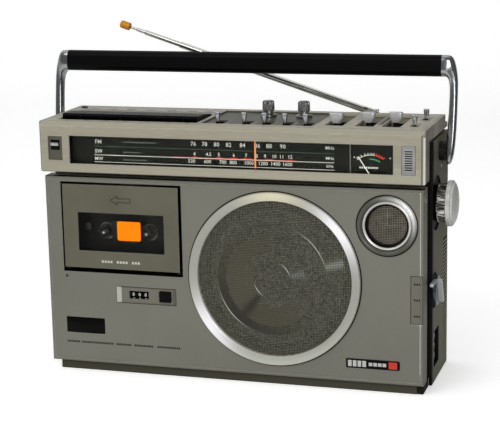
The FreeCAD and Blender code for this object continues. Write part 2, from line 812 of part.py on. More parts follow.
def dial_parts():
    """Dial glass, printed scale plate with the meter, the pointer and the meter's needle."""
    lap = "glass_lap"
    piece("dial_glass", block("window_left - " + lap, "window_right + " + lap,
                              "-band_out + panel_wall", "-band_out + panel_wall + glass_thick",
                              "window_bottom - " + lap, "window_top + " + lap))
    plate = block("window_left - scale_plate_lap", "window_right + scale_plate_lap",
                  "scale_plate_y", "scale_plate_y + scale_plate_thick",
                  "window_bottom - scale_plate_lap", "window_top + scale_plate_lap")
    meter = block("meter_x - meter_width / 2", "meter_x + meter_width / 2",
                  "scale_plate_y + scale_plate_thick",
                  "scale_plate_y + scale_plate_thick + meter_depth",
                  "window_bottom", "window_bottom + meter_height")
    stud = rod(ALONG_Y, "meter_x", "scale_plate_y - 1.7", "meter_pivot_z", "needle_width / 2",
               "1.8")
    feet = [block(x, x + " + 6", "scale_plate_y + scale_plate_thick", "front_depth",
                  "band_bottom + panel_wall", "window_bottom - scale_plate_lap + 3")
            for x in ("window_left", "window_right - 6")]
    foot_room = cut(join(plate, *feet), rod(ALONG_Y, "meter_x", "scale_plate_y - 1",
                                            "meter_pivot_z", "needle_width / 2", "0.9"))
    piece("dial_plate", group(join(foot_room, stud), meter))
    needle = block("meter_x - needle_width / 2", "meter_x + needle_width / 2",
                   "scale_plate_y - 1.4", "scale_plate_y - 0.9", "meter_pivot_z",
                   "meter_pivot_z + needle_length")
    hub = rod(ALONG_Y, "meter_x", "scale_plate_y - 1.4", "meter_pivot_z", "needle_width * 1.6",
              "0.8")
    hand = cut(join(needle, hub), rod(ALONG_Y, "meter_x", "scale_plate_y - 2", "meter_pivot_z",
                                      "needle_width / 2 + running_gap", "2.5"))
    pivot = Vector(measure("meter_x"), 0, measure("meter_pivot_z"))
    hand.Placement = FreeCAD.Placement(Vector(), Rotation(Vector(0, 1, 0), measure("needle_angle")),
                                       pivot)
    piece("meter_needle", hand)
    pointer_y = "scale_plate_y - 2 - pointer_thick"
    blade = block("pointer_x - pointer_width / 2", "pointer_x + pointer_width / 2", pointer_y,
                  pointer_y + " + pointer_thick", "window_bottom + 0.5",
                  "window_top + scale_plate_lap + 1")
    carriage = block("pointer_x - carriage_width / 2", "pointer_x + carriage_width / 2", pointer_y,
                     "scale_plate_y + scale_plate_thick + 3", "window_top + scale_plate_lap + 0.5",
                     "window_top + scale_plate_lap + 0.5 + carriage_height")
    piece("dial_pointer", join(blade, carriage))


def loudspeakers():
    """Trim rings, meshes, the woofer and tweeter, and the woofer's cone."""
    back = "panel_wall"
    ring = turned([("ring_inner", back + " + flange_thick"), ("ring_inner", "0.6"),
                   ("ring_inner + 1.2", "-ring_out * 0.55"), ("ring_crest", "-ring_out"),
                   ("ring_radius - 1", "-ring_out * 0.8"), ("ring_radius", "-ring_out * 0.5"),
                   ("ring_radius", back), ("ring_radius + ring_gap + ring_flange", back),
                   ("ring_radius + ring_gap + ring_flange", back + " + flange_thick")])
    piece("woofer_ring", locate(ring, "woofer_x", "0", "woofer_z", ALONG_Y))
    mesh_y = "panel_wall + flange_thick"
    piece("woofer_grille", rod(ALONG_Y, "woofer_x", mesh_y, "woofer_z",
                               "ring_radius + ring_gap", "mesh_thick"))
    front = "mesh_thick"
    deep = "basket_depth"
    basket = turned([("basket_radius", front), ("basket_radius", front + " + 2.5"),
                     ("cone_radius + 6", front + " + 2.5"), ("cone_radius + 6", "basket_rim"),
                     ("basket_throat + 2", deep), ("basket_throat + 2", deep + " + 2"),
                     ("cone_neck + 4", deep + " + 2"), ("cone_neck + 4", deep),
                     ("basket_throat", deep), ("cone_radius + 4", "basket_rim"),
                     ("cone_radius + 4", front)])
    locate(basket, "woofer_x", mesh_y, "woofer_z", ALONG_Y)
    magnet = rod(ALONG_Y, "woofer_x", mesh_y + " + basket_depth + 2", "woofer_z", "magnet_radius",
                 "magnet_depth")
    tweeter = rod(ALONG_Y, "tweeter_x", "panel_wall + flange_thick", "tweeter_z", "tweeter_body",
                  "tweeter_depth")
    piece("speaker_drivers", group(basket, magnet, tweeter))
    cone = turned([("cone_radius", "4"), ("cone_radius + 1.5", "4"),
                   ("cone_radius + 1.5", "4 + cone_wall"), ("cone_radius", "4 + cone_wall"),
                   ("cone_neck", "4 + cone_depth + cone_wall"), ("0", "4 + cone_depth - 4"),
                   ("0", "4 + cone_depth - 4 - cone_wall"), ("cone_neck", "4 + cone_depth - cone_wall")])
    piece("woofer_cone", locate(cone, "woofer_x", mesh_y, "woofer_z", ALONG_Y))
    trim = turned([("0", "1.2"), ("0", "0"), ("tweeter_dome * 0.6", "0.7"),
                   ("tweeter_dome", "2.0"), ("tweeter_inner - 1.8", "2.0"),
                   ("tweeter_inner - 1.6", "-1.2"), ("tweeter_inner", "-1.6"),
                   ("tweeter_inner + 0.4", "-0.6"), ("tweeter_radius - 2", "-3.2"),
                   ("tweeter_radius", "-2.2"), ("tweeter_radius", back),
                   ("tweeter_radius + 2.4", back), ("tweeter_radius + 2.4", back + " + flange_thick"),
                   ("tweeter_body * 0.9", back + " + flange_thick"),
                   ("tweeter_dome", "3.2"), ("tweeter_dome * 0.6", "1.9")])
    piece("tweeter_grille", locate(trim, "tweeter_x", "0", "tweeter_z", ALONG_Y))


def cassette_compartment():
    """Well behind the door with its hinge pins and stop plate, the door and its pane."""
    left = "deck_x - well_width / 2"
    right = "deck_x + well_width / 2"
    floor_y = "panel_wall + well_depth - well_wall"
    end = "panel_wall + well_depth"
    well = cut(block(left + " - well_wall", right + " + 1", "panel_wall", end,
                     "well_bottom - well_wall", "well_top + well_wall"),
               block(left + " - 0.3", right + " + 0.1", "0", floor_y, "well_bottom - 0.5",
                     "well_top + 0.3"))
    post = block("deck_x - stop_post / 2", "deck_x + stop_post / 2",
                 "stop_plate_y + stop_plate_thick - 0.1", floor_y + " + 0.1",
                 "reel_z + 1 - stop_post / 2", "reel_z + 1 + stop_post / 2")
    plate = block("deck_x - stop_plate_width / 2", "deck_x + stop_plate_width / 2",
                  "stop_plate_y", "stop_plate_y + stop_plate_thick",
                  "reel_z + 1 - stop_plate_height / 2", "reel_z + 1 + stop_plate_height / 2")
    reach = "door_gap + eye_width - 0.5"
    pins = [rod(ALONG_X, left + " - 0.4", "hinge_y", "hinge_z", "hinge_pin", reach),
            rod(ALONG_X, right + " + 0.2 - (%s)" % reach, "hinge_y", "hinge_z", "hinge_pin", reach)]
    holes = [rod(ALONG_Y, x, "stop_plate_y", "reel_z", "reel_seat + 1", "well_depth")
             for x in ("deck_x - reel_spacing / 2", "deck_x + reel_spacing / 2")]
    holes.append(rod(ALONG_Y, "capstan_x", "stop_plate_y", "capstan_z", "capstan_radius + 2",
                     "well_depth"))
    piece("cassette_well", join(cut(well, *holes), post, plate, *pins))

    door_left = "deck_x - well_width / 2 + door_gap"
    door_right = "deck_x + well_width / 2 - door_gap"
    back = "door_thick - door_out"
    panel = cut(block(door_left, door_right, "-door_out", back, "door_bottom", "door_top"),
                block("deck_x - pane_width / 2", "deck_x + pane_width / 2", "-door_out - 1",
                      back + " + 1", "pane_bottom", "pane_top"))
    solids = [panel]
    for eye in (door_left, door_right + " - eye_width"):
        solids.append(rod(ALONG_X, eye, "hinge_y", "hinge_z", "hinge_eye", "eye_width"))
        solids.append(block(eye, eye + " + eye_width", back, "hinge_y", "hinge_z + 0.7",
                            "door_bottom + 2.3"))
    for guide in (door_left + " + guide_inset", door_right + " - guide_inset - guide_thick"):
        solids.append(block(guide, guide + " + guide_thick", back, "door_thick + guide_depth",
                            "door_bottom + 2", "guide_top"))
    bore = rod(ALONG_X, "deck_x - well_width", "hinge_y", "hinge_z", "hinge_pin + running_gap",
               "2 * well_width")
    piece("cassette_door", cut(join(*solids), bore))
    pane = block("deck_x - pane_width / 2 + 0.1", "deck_x + pane_width / 2 - 0.1",
                 "-door_out + 0.3", back + " + 0.1", "pane_bottom + 0.1", "pane_top - 0.1")
    flange = block("deck_x - pane_width / 2 - pane_lap", "deck_x + pane_width / 2 + pane_lap",
                   back, back + " + pane_flange", "pane_bottom - pane_lap", "pane_top + pane_lap")
    piece("door_window", join(pane, flange))


def belt_loop(first, first_radius, second, second_radius, y, width):
    """A band round two wheels: two arcs and the two outer tangents, as a prism along Y."""
    along = second - first
    distance = along.Length
    along.normalize()
    across = Vector(-along.z, 0, along.x)
    tilt = (first_radius - second_radius) / distance
    rise = (1 - tilt * tilt) ** 0.5
    up = along * tilt + across * rise
    down = along * tilt - across * rise
    ends = [first + up * first_radius, second + up * second_radius,
            second + down * second_radius, first + down * first_radius]
    edges = [Part.LineSegment(ends[0], ends[1]).toShape(),
             Part.Arc(ends[1], second + along * second_radius, ends[2]).toShape(),
             Part.LineSegment(ends[2], ends[3]).toShape(),
             Part.Arc(ends[3], first - along * first_radius, ends[0]).toShape()]
    loop = Part.Face(Part.Wire(edges))
    loop.translate(Vector(0, y, 0))
    return loop.extrude(Vector(0, width, 0))


def transport():
    """Deck plate, reel spindles, capstan and flywheel, motor, belt, head bridge and roller."""
    deck_y = "panel_wall + well_depth"
    deck_back = deck_y + " + deck_thick"
    plate = block("deck_x - well_width / 2 - well_wall", "deck_x + well_width / 2 + 1", deck_y,
                  deck_back, "well_bottom - well_wall", "well_top + well_wall")
    reels = ("deck_x + reel_spacing / 2", "deck_x - reel_spacing / 2")
    holes = [rod(ALONG_Y, x, deck_y + " - 1", "reel_z", "reel_shaft + running_gap", "deck_thick + 2")
             for x in reels]
    holes.append(rod(ALONG_Y, "capstan_x", deck_y + " - 1", "capstan_z",
                     "capstan_radius + running_gap", "deck_thick + 2"))
    reach = "motor_radius + 2 * bracket_thick"
    wall = cut(block("motor_x - motor_radius", "motor_x + motor_radius",
                     "motor_y - bracket_thick", "motor_y", "motor_z - (%s)" % reach,
                     "motor_z + (%s)" % reach),
               rod(ALONG_Y, "motor_x", "motor_y - 2 * bracket_thick", "motor_z",
                   "motor_shaft + 2", "3 * bracket_thick"))
    legs = [block("motor_x - motor_radius / 2", "motor_x + motor_radius / 2", deck_back + " - 0.5",
                  "motor_y", low, low + " + bracket_thick")
            for low in ("motor_z - (%s)" % reach, "motor_z + (%s) - bracket_thick" % reach)]
    piece("deck_chassis", join(cut(plate, *holes), wall, *legs))

    for name, x in zip(("supply_spindle", "takeup_spindle"), reels):
        reel = turned([("0", "0"), ("reel_radius * 0.5", "0"), ("reel_radius", "2.5"),
                       ("reel_radius", "7"), ("reel_seat", "7"), ("reel_seat", "8.6"),
                       ("reel_shaft", "8.6"), ("reel_shaft", "17"), ("0", "17")])
        body = locate(reel, x, "reel_tip_y", "reel_z", ALONG_Y)
        hub = rod(ALONG_Y, x, deck_back + " + 0.3", "reel_z", "reel_seat + 2", "2.5")
        fins = [block("%s - 0.6" % x, "%s + 0.6" % x, "reel_tip_y + 2.6", "reel_tip_y + 7",
                      "reel_z - reel_radius - 0.9", "reel_z + reel_radius + 0.9"),
                block("%s - reel_radius - 0.9" % x, "%s + reel_radius + 0.9" % x,
                      "reel_tip_y + 2.6", "reel_tip_y + 7", "reel_z - 0.6", "reel_z + 0.6")]
        piece(name, join(body, hub, *fins))

    groove = "flywheel_radius - belt_groove"
    middle = "flywheel_y + flywheel_thick / 2"
    wheel = turned([("0", "capstan_tip_y"), ("capstan_radius", "capstan_tip_y"),
                    ("capstan_radius", "flywheel_y"), ("flywheel_radius", "flywheel_y"),
                    ("flywheel_radius", middle + " - belt_width"), (groove, middle + " - belt_width"),
                    (groove, middle + " + belt_width"), ("flywheel_radius", middle + " + belt_width"),
                    ("flywheel_radius", "flywheel_y + flywheel_thick"),
                    ("0", "flywheel_y + flywheel_thick")])
    piece("flywheel", locate(wheel, "capstan_x", "0", "capstan_z", ALONG_Y))

    piece("drive_motor", rod(ALONG_Y, "motor_x", "motor_y", "motor_z", "motor_radius",
                             "motor_length"))
    pulley = join(rod(ALONG_Y, "motor_x", middle + " - belt_width", "motor_z", "pulley_radius",
                      "2 * belt_width"),
                  rod(ALONG_Y, "motor_x", middle, "motor_z", "motor_shaft",
                      "motor_y - (%s)" % middle))
    piece("motor_pulley", pulley)
    belt = doc.addObject("Part::Feature", "Belt")
    axles = [Vector(measure("motor_x"), 0, measure("motor_z")),
             Vector(measure("capstan_x"), 0, measure("capstan_z"))]
    y = measure("face_y + %s - belt_width / 2" % middle)
    skins = []
    for extra in ("belt_gap + belt_thick", "belt_gap"):
        skins.append(belt_loop(axles[0], measure("pulley_radius + " + extra), axles[1],
                               measure(groove + " + " + extra), y, measure("belt_width")))
    belt.Shape = skins[0].cut(skins[1])
    belt.Placement = FreeCAD.Placement()
    piece("drive_belt", belt)

    roller_z = "capstan_z + capstan_radius + roller_radius + roller_travel + roller_touch"
    bridge_y = deck_y + " - well_wall - bridge_thick - 0.2"
    bar = block("capstan_x - roller_radius", "deck_x + 30", bridge_y, bridge_y + " + bridge_thick",
                "bridge_bottom", "bridge_top")
    head = block("deck_x - head_width / 2", "deck_x + head_width / 2", "head_y",
                 bridge_y + " + 0.1", "head_bottom", "bridge_top - 1")
    pin = rod(ALONG_Y, "capstan_x", "head_y", roller_z, "roller_pin", bridge_y + " + 0.5 - head_y")
    piece("head_bridge", join(bar, head, pin))
    roller = cut(rod(ALONG_Y, "capstan_x", "head_y + 0.3", roller_z, "roller_radius",
                     "roller_width"),
                 rod(ALONG_Y, "capstan_x", "head_y - 1", roller_z, "roller_pin + running_gap",
                     "roller_width + 3"))
    piece("pinch_roller", roller)


def tape_counter():
    """Number wheels on their axle and the reset button."""
    span = "digits_width - 1"
    wheels = rod(ALONG_X, "digits_x - (%s) / 2" % span, "wheel_y", "counter_z", "wheel_radius",
                 span)
    axle = rod(ALONG_X, "digits_x - digits_width / 2 - ear_thick", "wheel_y", "counter_z",
               "wheel_axle", "digits_width + 2 * ear_thick")
    piece("counter_wheels", join(wheels, axle))
    cap = block("reset_x - reset_width / 2 + button_gap", "reset_x + reset_width / 2 - button_gap",
                "-reset_out", "panel_wall + 2", "counter_z - reset_height / 2 + button_gap",
                "counter_z + reset_height / 2 - button_gap")
    collar = block("reset_x - reset_width / 2 - 1.5", "reset_x + reset_width / 2 + 1.5",
                   "panel_wall + 0.1", "panel_wall + 1.6", "counter_z - reset_height / 2 - 1.5",
                   "counter_z + reset_height / 2 + 1.5")
    piece("counter_reset", join(cap, collar))


def piano_keys():
    """Seven keys side by side on one axle behind them."""
    top = "top_level + key_rise"
    rear = "top_level + key_rear_rise"
    low = top + " - key_body"
    widths = ["key_width"] * 4 + ["wide_key_width", "key_width", "narrow_key_width"]
    left = "keys_left"
    for number, width in enumerate(widths, start=1):
        profile = [("key_front", low), ("key_front", top + " - 1.6"), ("key_front + 1.6", top),
                   ("key_front + 0.5 * (key_back - key_front)", top + " - 0.8"),
                   ("key_back - 2", rear), ("key_back", rear + " - 2"),
                   ("key_back", "key_pivot_z + key_arm_thick / 2"),
                   ("key_pivot_y + 4", "key_pivot_z + key_arm_thick / 2"),
                   ("key_pivot_y + 4", "key_pivot_z - key_arm_thick / 2"),
                   ("key_front + 12", "key_pivot_z - key_arm_thick / 2"),
                   ("key_front + 12", low)]
        body = padded_outline("YZ_Plane", profile, width + " - key_gap")
        locate(body, "%s + %s / 2" % (left, width), "0", "0")
        bore = rod(ALONG_X, left, "key_pivot_y", "key_pivot_z", "key_pin + running_gap", width)
        piece("key_%d" % number, cut(body, bore))
        left += " + " + width


def tapered_cap(x, y, bottom, base_width, top_width, thick, height):
    """A thumb piece that widens upwards."""
    profile = [("-%s / 2" % base_width, "0"), ("%s / 2" % base_width, "0"),
               ("%s / 2" % top_width, "%s * 0.55" % height), ("%s / 2" % top_width, height),
               ("-%s / 2" % top_width, height), ("-%s / 2" % top_width, "%s * 0.55" % height)]
    return locate(padded_outline("XZ_Plane", profile, thick), x, y, bottom)


def sliding_control(name, x, y, slot, stem, base_width, top_width, thick, height):
    """A thumb piece on a stem, with a wider shoe under the top plate."""
    bottom = "top_level + 0.6"
    under = "top_level - plate_thick - shoe_gap"
    cap = tapered_cap(x, y, bottom, base_width, top_width, thick, height)
    post = block("%s - %s / 2" % (x, stem), "%s + %s / 2" % (x, stem), "%s - %s / 2" % (y, stem),
                 "%s + %s / 2" % (y, stem), "stem_bottom", bottom + " + 1")
    reach = "(%s / 2 + shoe_lap)" % slot
    shoe = block("%s - %s" % (x, reach), "%s + %s" % (x, reach), "%s - shoe_length / 2" % y,
                 "%s + shoe_length / 2" % y, under + " - shoe_height", under)
    piece(name, join(cap, post, shoe))


def top_controls():
    """Small levers, wide sliders and the two knurled knobs."""
    places = ["lever_y"] * 5 + ["lever_6_y", "lever_7_y"]
    for number, y in enumerate(places, start=1):
        sliding_control("lever_%d" % number, "lever_%d_x" % number, y, "slot_width",
                        "lever_stem", "lever_base_width", "lever_top_width", "lever_thick",
                        "lever_height")
    for number in (1, 2, 3):
        sliding_control("slider_%d" % number, "slider_%d_x" % number, "slider_%d_y" % number,
                        "slider_slot_width", "slider_stem", "slider_base_width",
                        "slider_top_width", "slider_thick", "slider_height")
    base = "top_level - panel_pocket + 0.3"
    for number in (1, 2):
        knob = turned([("0", "stem_bottom"), ("knob_stem", "stem_bottom"), ("knob_stem", base),
                       ("knob_flange", base), ("knob_flange", base + " + knob_flange_height"),
                       ("knob_radius", base + " + knob_flange_height + 1"),
                       ("knob_radius", "knob_top - 1"), ("knob_radius - 1", "knob_top"),
                       ("0", "knob_top")])
        piece("knob_%d" % number, locate(knob, "knob_%d_x" % number, "knob_y", "0"))


def handle():
    """Two arms with the padded grip between them, on pivots in the rear shell."""
    outer = "rear_width / 2 + arm_gap + arm_thick"
    inner = "rear_width / 2 + arm_gap"
    grip_end = outer + " - grip_set_in"
    front = "handle_y - arm_depth / 2"
    back = "handle_y + arm_depth / 2"
    bottom = "handle_z + grip_rise - grip_height / 2"
    top = "handle_z + grip_rise + grip_height / 2"
    corner = measure(outer)
    ceiling = measure(top)
    inside = measure(inner)
    underside = measure(bottom)
    lean = FreeCAD.Placement(Vector(), Rotation(Vector(1, 0, 0), -measure("handle_lean")),
                             Vector(0, measure("face_y + handle_y"), measure("handle_z")))
    arms = []
    for side in (1, -1):
        parts = (inner, outer) if side > 0 else ("-(%s)" % outer, "-(%s)" % inner)
        stub = (grip_end, outer) if side > 0 else ("-(%s)" % outer, "-(%s)" % grip_end)
        bar = block(parts[0], parts[1], front, back, "handle_z - arm_foot", top)
        head = block(stub[0], stub[1], front, back, bottom, top)
        start = parts[0] + " - 1" if side > 0 else parts[0] + " + pivot_cover"
        bore = rod(ALONG_X, start, "handle_y", "handle_z", "pivot_radius + running_gap",
                   "arm_thick + 1 - pivot_cover" if side > 0 else "arm_thick")
        arm = join(bar, head)
        arm = rounded(arm, "arm_corner", lambda c, d: abs(abs(c.x) - corner) < CLOSE
                      and abs(c.z - ceiling) < CLOSE and abs(d.y) > 0.9)
        arm = rounded(arm, "arm_inner_corner", lambda c, d: abs(abs(c.x) - inside) < CLOSE
                      and abs(c.z - underside) < CLOSE and abs(d.y) > 0.9)
        arm = rounded(arm, "arm_edge", lambda c, d: abs(abs(c.x) - corner) < CLOSE
                      and abs(d.z) > 0.9)
        arms.append(cut(arm, bore))
    pair = group(*arms)
    pair.Placement = lean
    piece("handle_arms", pair)
    bar = block("-(%s)" % grip_end, grip_end, "handle_y - grip_depth / 2",
                "handle_y + grip_depth / 2", bottom, top)
    grip = rounded(bar, "grip_round", lambda c, d: abs(d.x) > 0.9)
    grip.Placement = lean
    piece("handle_grip", grip)
    pins = []
    for side in (1, -1):
        start = "rear_width / 2 - rear_wall - pivot_inside"
        pin = turned([("0", start), ("pivot_radius * 1.8", start),
                      ("pivot_radius * 1.8", "rear_width / 2 - rear_wall - 0.1"),
                      ("pivot_radius - running_gap", "rear_width / 2 - rear_wall - 0.1"),
                      ("pivot_radius - running_gap", "rear_width / 2 + 0.1"),
                      ("pivot_collar", "rear_width / 2 + 0.1"),
                      ("pivot_collar", inner + " - 0.2"), ("pivot_radius", inner + " - 0.2"),
                      ("pivot_radius", outer + " - pivot_cover - 0.2"),
                      ("0", outer + " - pivot_cover - 0.2")])
        turn = ALONG_X if side > 0 else Rotation(Vector(0, 1, 0), -90)
        pins.append(locate(pin, "0", "handle_y", "handle_z", turn))
    piece("handle_pivots", group(*pins))


def antenna():
    """Swivel with its fork, and four sections that slide one inside another."""
    floor = "channel_level + 0.1"
    flange_top = floor + " + swivel_flange_thick"
    stem = rod(UPRIGHT, "antenna_x", "antenna_y", "lip_bottom + seam_gap", "swivel_stem",
               "channel_level - lip_bottom + 1")
    flange = rod(UPRIGHT, "antenna_x", "antenna_y", floor, "swivel_flange", "swivel_flange_thick")
    cheeks = []
    for start in ("antenna_y - fork_inner - fork_thick", "antenna_y + fork_inner"):
        cheek = block("antenna_x - fork_half", "antenna_x + fork_half", start,
                      start + " + fork_thick", flange_top + " - 0.5", "antenna_z + fork_half")
        cheeks.append(cheek)
    pin = rod(ALONG_Y, "antenna_x", "antenna_y - fork_inner - fork_thick", "antenna_z",
              "antenna_pin", "2 * (fork_inner + fork_thick)")
    piece("antenna_swivel", join(stem, flange, pin, *cheeks))

    tongue = cut(join(block("-tongue_length", "0", "antenna_y - tongue_thick / 2",
                            "antenna_y + tongue_thick / 2", "-tongue_half", "tongue_half"),
                      rod(ALONG_Y, "0", "antenna_y - tongue_thick / 2", "0", "tongue_half",
                          "tongue_thick")),
                 rod(ALONG_Y, "0", "antenna_y - tongue_thick", "0", "antenna_pin + running_gap",
                     "2 * tongue_thick"))
    reach = ["tongue_length - 2 + tube_length"]
    for number in (2, 3, 4):
        reach.append(reach[-1] + " + tube_%d_out" % number)
    radius = "tube_radius"
    slope = Rotation(Vector(0, 1, 0), measure("antenna_tilt"))
    base = Vector(measure("antenna_x"), 0, measure("antenna_z"))
    for number in (1, 2, 3, 4):
        far = reach[number - 1]
        near = "tongue_length - 2" if number == 1 else "tongue_length + %d * tube_tail" % number
        bore = "(%s) - tube_wall" % radius
        if number < 4:
            points = [(bore, "-(%s)" % far), (radius, "-(%s)" % far), (radius, "-(%s)" % near),
                      (bore, "-(%s)" % near)]
        else:
            points = [("0", "-(%s)" % near), ("0", "-(%s) - tip_length" % far),
                      ("tip_radius - 1", "-(%s) - tip_length" % far),
                      ("tip_radius", "-(%s) - tip_length + 1" % far), ("tip_radius", "-(%s)" % far),
                      (radius, "-(%s)" % far), (radius, "-(%s)" % near)]
        section = locate(turned(points), "0", "antenna_y", "0", ALONG_X)
        if number == 1:
            plug = rod(ALONG_X, "-(%s) - 2" % near, "antenna_y", "0", bore + " + 0.1", "4")
            section = join(section, plug, tongue)
        else:
            section = group(section)
        section.Placement = FreeCAD.Placement(base, slope)
        piece("antenna_section_%d" % number, section)
        radius = "(%s) - tube_gap" % bore


def side_controls():
    """Tuning knob and band selector on the right side."""
    sunk = "rear_width / 2 - side_recess + 0.3"
    hub_end = sunk + " + tuning_hub_length"
    edge = hub_end + " + tuning_disc_thick"
    knob = turned([("0", sunk + " - side_shaft_length"), ("side_shaft", sunk + " - side_shaft_length"),
                   ("side_shaft", sunk), ("tuning_hub", sunk), ("tuning_hub", hub_end),
                   ("tuning_disc", hub_end), ("tuning_disc", edge),
                   ("tuning_disc * 0.8", edge + " + tuning_dome * 0.55"),
                   ("tuning_disc * 0.4", edge + " + tuning_dome * 0.92"),
                   ("0", edge + " + tuning_dome")])
    piece("tuning_knob", locate(knob, "0", "tuning_y", "tuning_z", ALONG_X))

    disc_x = sunk + " + selector_hub_length"
    shaft = rod(ALONG_X, sunk + " - side_shaft_length", "selector_y", "selector_z", "side_shaft",
                "side_shaft_length + 1")
    hub = rod(ALONG_X, sunk, "selector_y", "selector_z", "selector_hub", "selector_hub_length + 1")
    disc = rod(ALONG_X, disc_x, "selector_y", "selector_z", "selector_disc", "selector_disc_thick")
    ends = ("selector_disc * 0.35", "selector_disc * 0.85")
    ridge = [("-(%s) - selector_bar_width / 2" % ends[0], ends[1]),
             ("-(%s) + selector_bar_width / 2" % ends[0], ends[1]),
             ("%s + selector_bar_width / 2" % ends[0], "-(%s)" % ends[1]),
             ("%s - selector_bar_width / 2" % ends[0], "-(%s)" % ends[1])]
    tall = "(selector_bar_out + selector_disc_thick)"
    bar = locate(padded_outline("YZ_Plane", ridge, tall), disc_x + " + %s / 2" % tall, "selector_y",
                 "selector_z")
    tongue = block(disc_x, disc_x + " + selector_disc_thick", "selector_y - tongue_reach",
                   "selector_y", "selector_z + tongue_low", "selector_z + tongue_high")
    piece("band_selector", join(shaft, hub, disc, bar, tongue))


def sockets():
    """Jack plate on the right side and the power inlet with its two pins on the left."""
    inside = "rear_width / 2 - rear_wall"
    plate = block(inside + " - jack_plate", inside, "jack_front - jack_lap",
                  "jack_back + jack_lap", "jack_bottom - jack_lap / 2", "jack_top + jack_lap")
    middle = "(jack_front + jack_back) / 2"
    centre = "(jack_bottom + jack_top) / 2"
    jacks = [rod(ALONG_X, inside + " - jack_plate - 1", middle, "%s + %s" % (centre, offset),
                 "jack_hole", "jack_plate + 2") for offset in ("-jack_pitch", "0", "jack_pitch")]
    wide = "inlet_width / 2 + inlet_wall"
    tall = "inlet_height / 2 + inlet_wall"
    wall = "-(%s)" % inside
    cup = cut(block(wall, wall + " + inlet_depth", "inlet_y - (%s)" % wide,
                    "inlet_y + (%s)" % wide, "inlet_z - (%s)" % tall, "inlet_z + (%s)" % tall),
              block(wall + " - 1", wall + " + inlet_depth - inlet_wall",
                    "inlet_y - inlet_width / 2", "inlet_y + inlet_width / 2",
                    "inlet_z - inlet_height / 2", "inlet_z + inlet_height / 2"))
    pins = [rod(ALONG_X, wall + " + inlet_depth - inlet_wall - inlet_pin_length",
                "inlet_y + %s * inlet_pin_spacing / 2" % side, "inlet_z", "inlet_pin",
                "inlet_pin_length + 0.5") for side in ("-1", "1")]
    piece("sockets", group(cut(plate, *jacks), join(cup, *pins)))


def electronics():
    """Main circuit board with the tuning capacitor, and the power transformer."""
    board = block("board_left", "board_right", "board_front", "top_back + 2 * board_post",
                  "board_z", "board_z + board_thick")
    half = "capacitor_size / 2"
    capacitor = block("board_right - 2 * capacitor_size", "board_right - capacitor_size",
                      "tuning_y - " + half, "tuning_y + " + half, "board_z - capacitor_size",
                      "board_z + 0.1")
    core = block("transformer_x - transformer_width / 2", "transformer_x + transformer_width / 2",
                 "transformer_y - transformer_depth / 2", "transformer_y + transformer_depth / 2",
                 "base_height + panel_wall", "base_height + panel_wall + transformer_height")
    piece("electronics", group(join(board, capacitor), core))


front_cabinet()
chassis_frame()
rear_cabinet()
battery_cover()
dial_band()
top_plate()
dial_parts()
loudspeakers()
cassette_compartment()
transport()
tape_counter()
piano_keys()
top_controls()
handle()
antenna()
side_controls()
sockets()
electronics()

doc.recompute()
for item in doc.Objects:
    if "Invalid" in item.State or "Error" in item.State:
        raise RuntimeError("failed: %s %s" % (item.Label, item.State))
for item in PIECES:
    if item.Shape.isNull() or not item.Shape.isValid():
        raise RuntimeError("bad shape: " + item.Label)
os.makedirs("parts", exist_ok=True)
for item in PIECES:
    item.Shape.exportStep("parts/%s.step" % item.Label)
    print("%-20s solids %d volume %.0f" % (item.Label, len(item.Shape.Solids), item.Shape.Volume))
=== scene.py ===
"""Looks of a portable radio cassette recorder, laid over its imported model.

Lengths of the recorder's pieces are millimetres. X and Z are the model's own, and Y is counted
from the front panel's face, with +Y to the back. Camera, paper and lamps are in metres. A piece is
a set of closed tubes: rings of points computed as arrays, with quads between neighbouring rings
and a flat face at each end.
"""
import math

import bmesh
import bpy
import numpy as np
from mathutils import Matrix, Vector


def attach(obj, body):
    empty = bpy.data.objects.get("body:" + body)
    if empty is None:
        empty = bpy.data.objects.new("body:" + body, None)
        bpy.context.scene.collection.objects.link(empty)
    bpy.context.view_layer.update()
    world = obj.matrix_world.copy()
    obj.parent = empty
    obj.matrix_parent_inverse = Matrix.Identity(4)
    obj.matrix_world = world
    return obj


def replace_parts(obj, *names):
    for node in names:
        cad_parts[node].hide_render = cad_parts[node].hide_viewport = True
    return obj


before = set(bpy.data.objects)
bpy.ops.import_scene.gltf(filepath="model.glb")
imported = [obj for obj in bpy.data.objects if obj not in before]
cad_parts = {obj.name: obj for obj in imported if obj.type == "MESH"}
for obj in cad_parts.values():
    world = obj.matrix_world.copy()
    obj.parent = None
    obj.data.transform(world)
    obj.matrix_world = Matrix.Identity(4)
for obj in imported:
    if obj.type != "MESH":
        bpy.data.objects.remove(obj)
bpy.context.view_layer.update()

# Camera
# The photograph was taken from the right of the middle, a little above the dial, with a long
# lens and a slight roll. The numbers come from fitting the cabinet's corners: how far the view
# swings to the left, drops and rolls, in radians, and where the eye is.
swing, drop, roll = 0.2993, 0.2117, -0.0204
EYE = Vector((0.4217, -1.352, 0.4546))
SENSOR_WIDTH, FOCAL_PIXELS, PHOTO_WIDTH = 36, 1548.5, 500
sight = Vector((-math.sin(swing) * math.cos(drop), math.cos(swing) * math.cos(drop), -math.sin(drop)))
level = Vector((math.cos(swing), math.sin(swing), 0))
over = level.cross(sight)
across = math.cos(roll) * level + math.sin(roll) * over
upward = -math.sin(roll) * level + math.cos(roll) * over
camera = bpy.data.objects.new("camera", bpy.data.cameras.new("camera"))
camera.data.sensor_width = SENSOR_WIDTH
camera.data.lens = SENSOR_WIDTH * FOCAL_PIXELS / PHOTO_WIDTH
camera.data.clip_start = 0.05
camera.data.clip_end = 30
camera.matrix_world = Matrix((across, upward, -sight)).transposed().to_4x4()
camera.matrix_world.translation = EYE
bpy.context.scene.collection.objects.link(camera)
bpy.context.scene.camera = camera
bpy.context.scene.view_settings.view_transform = "Standard"


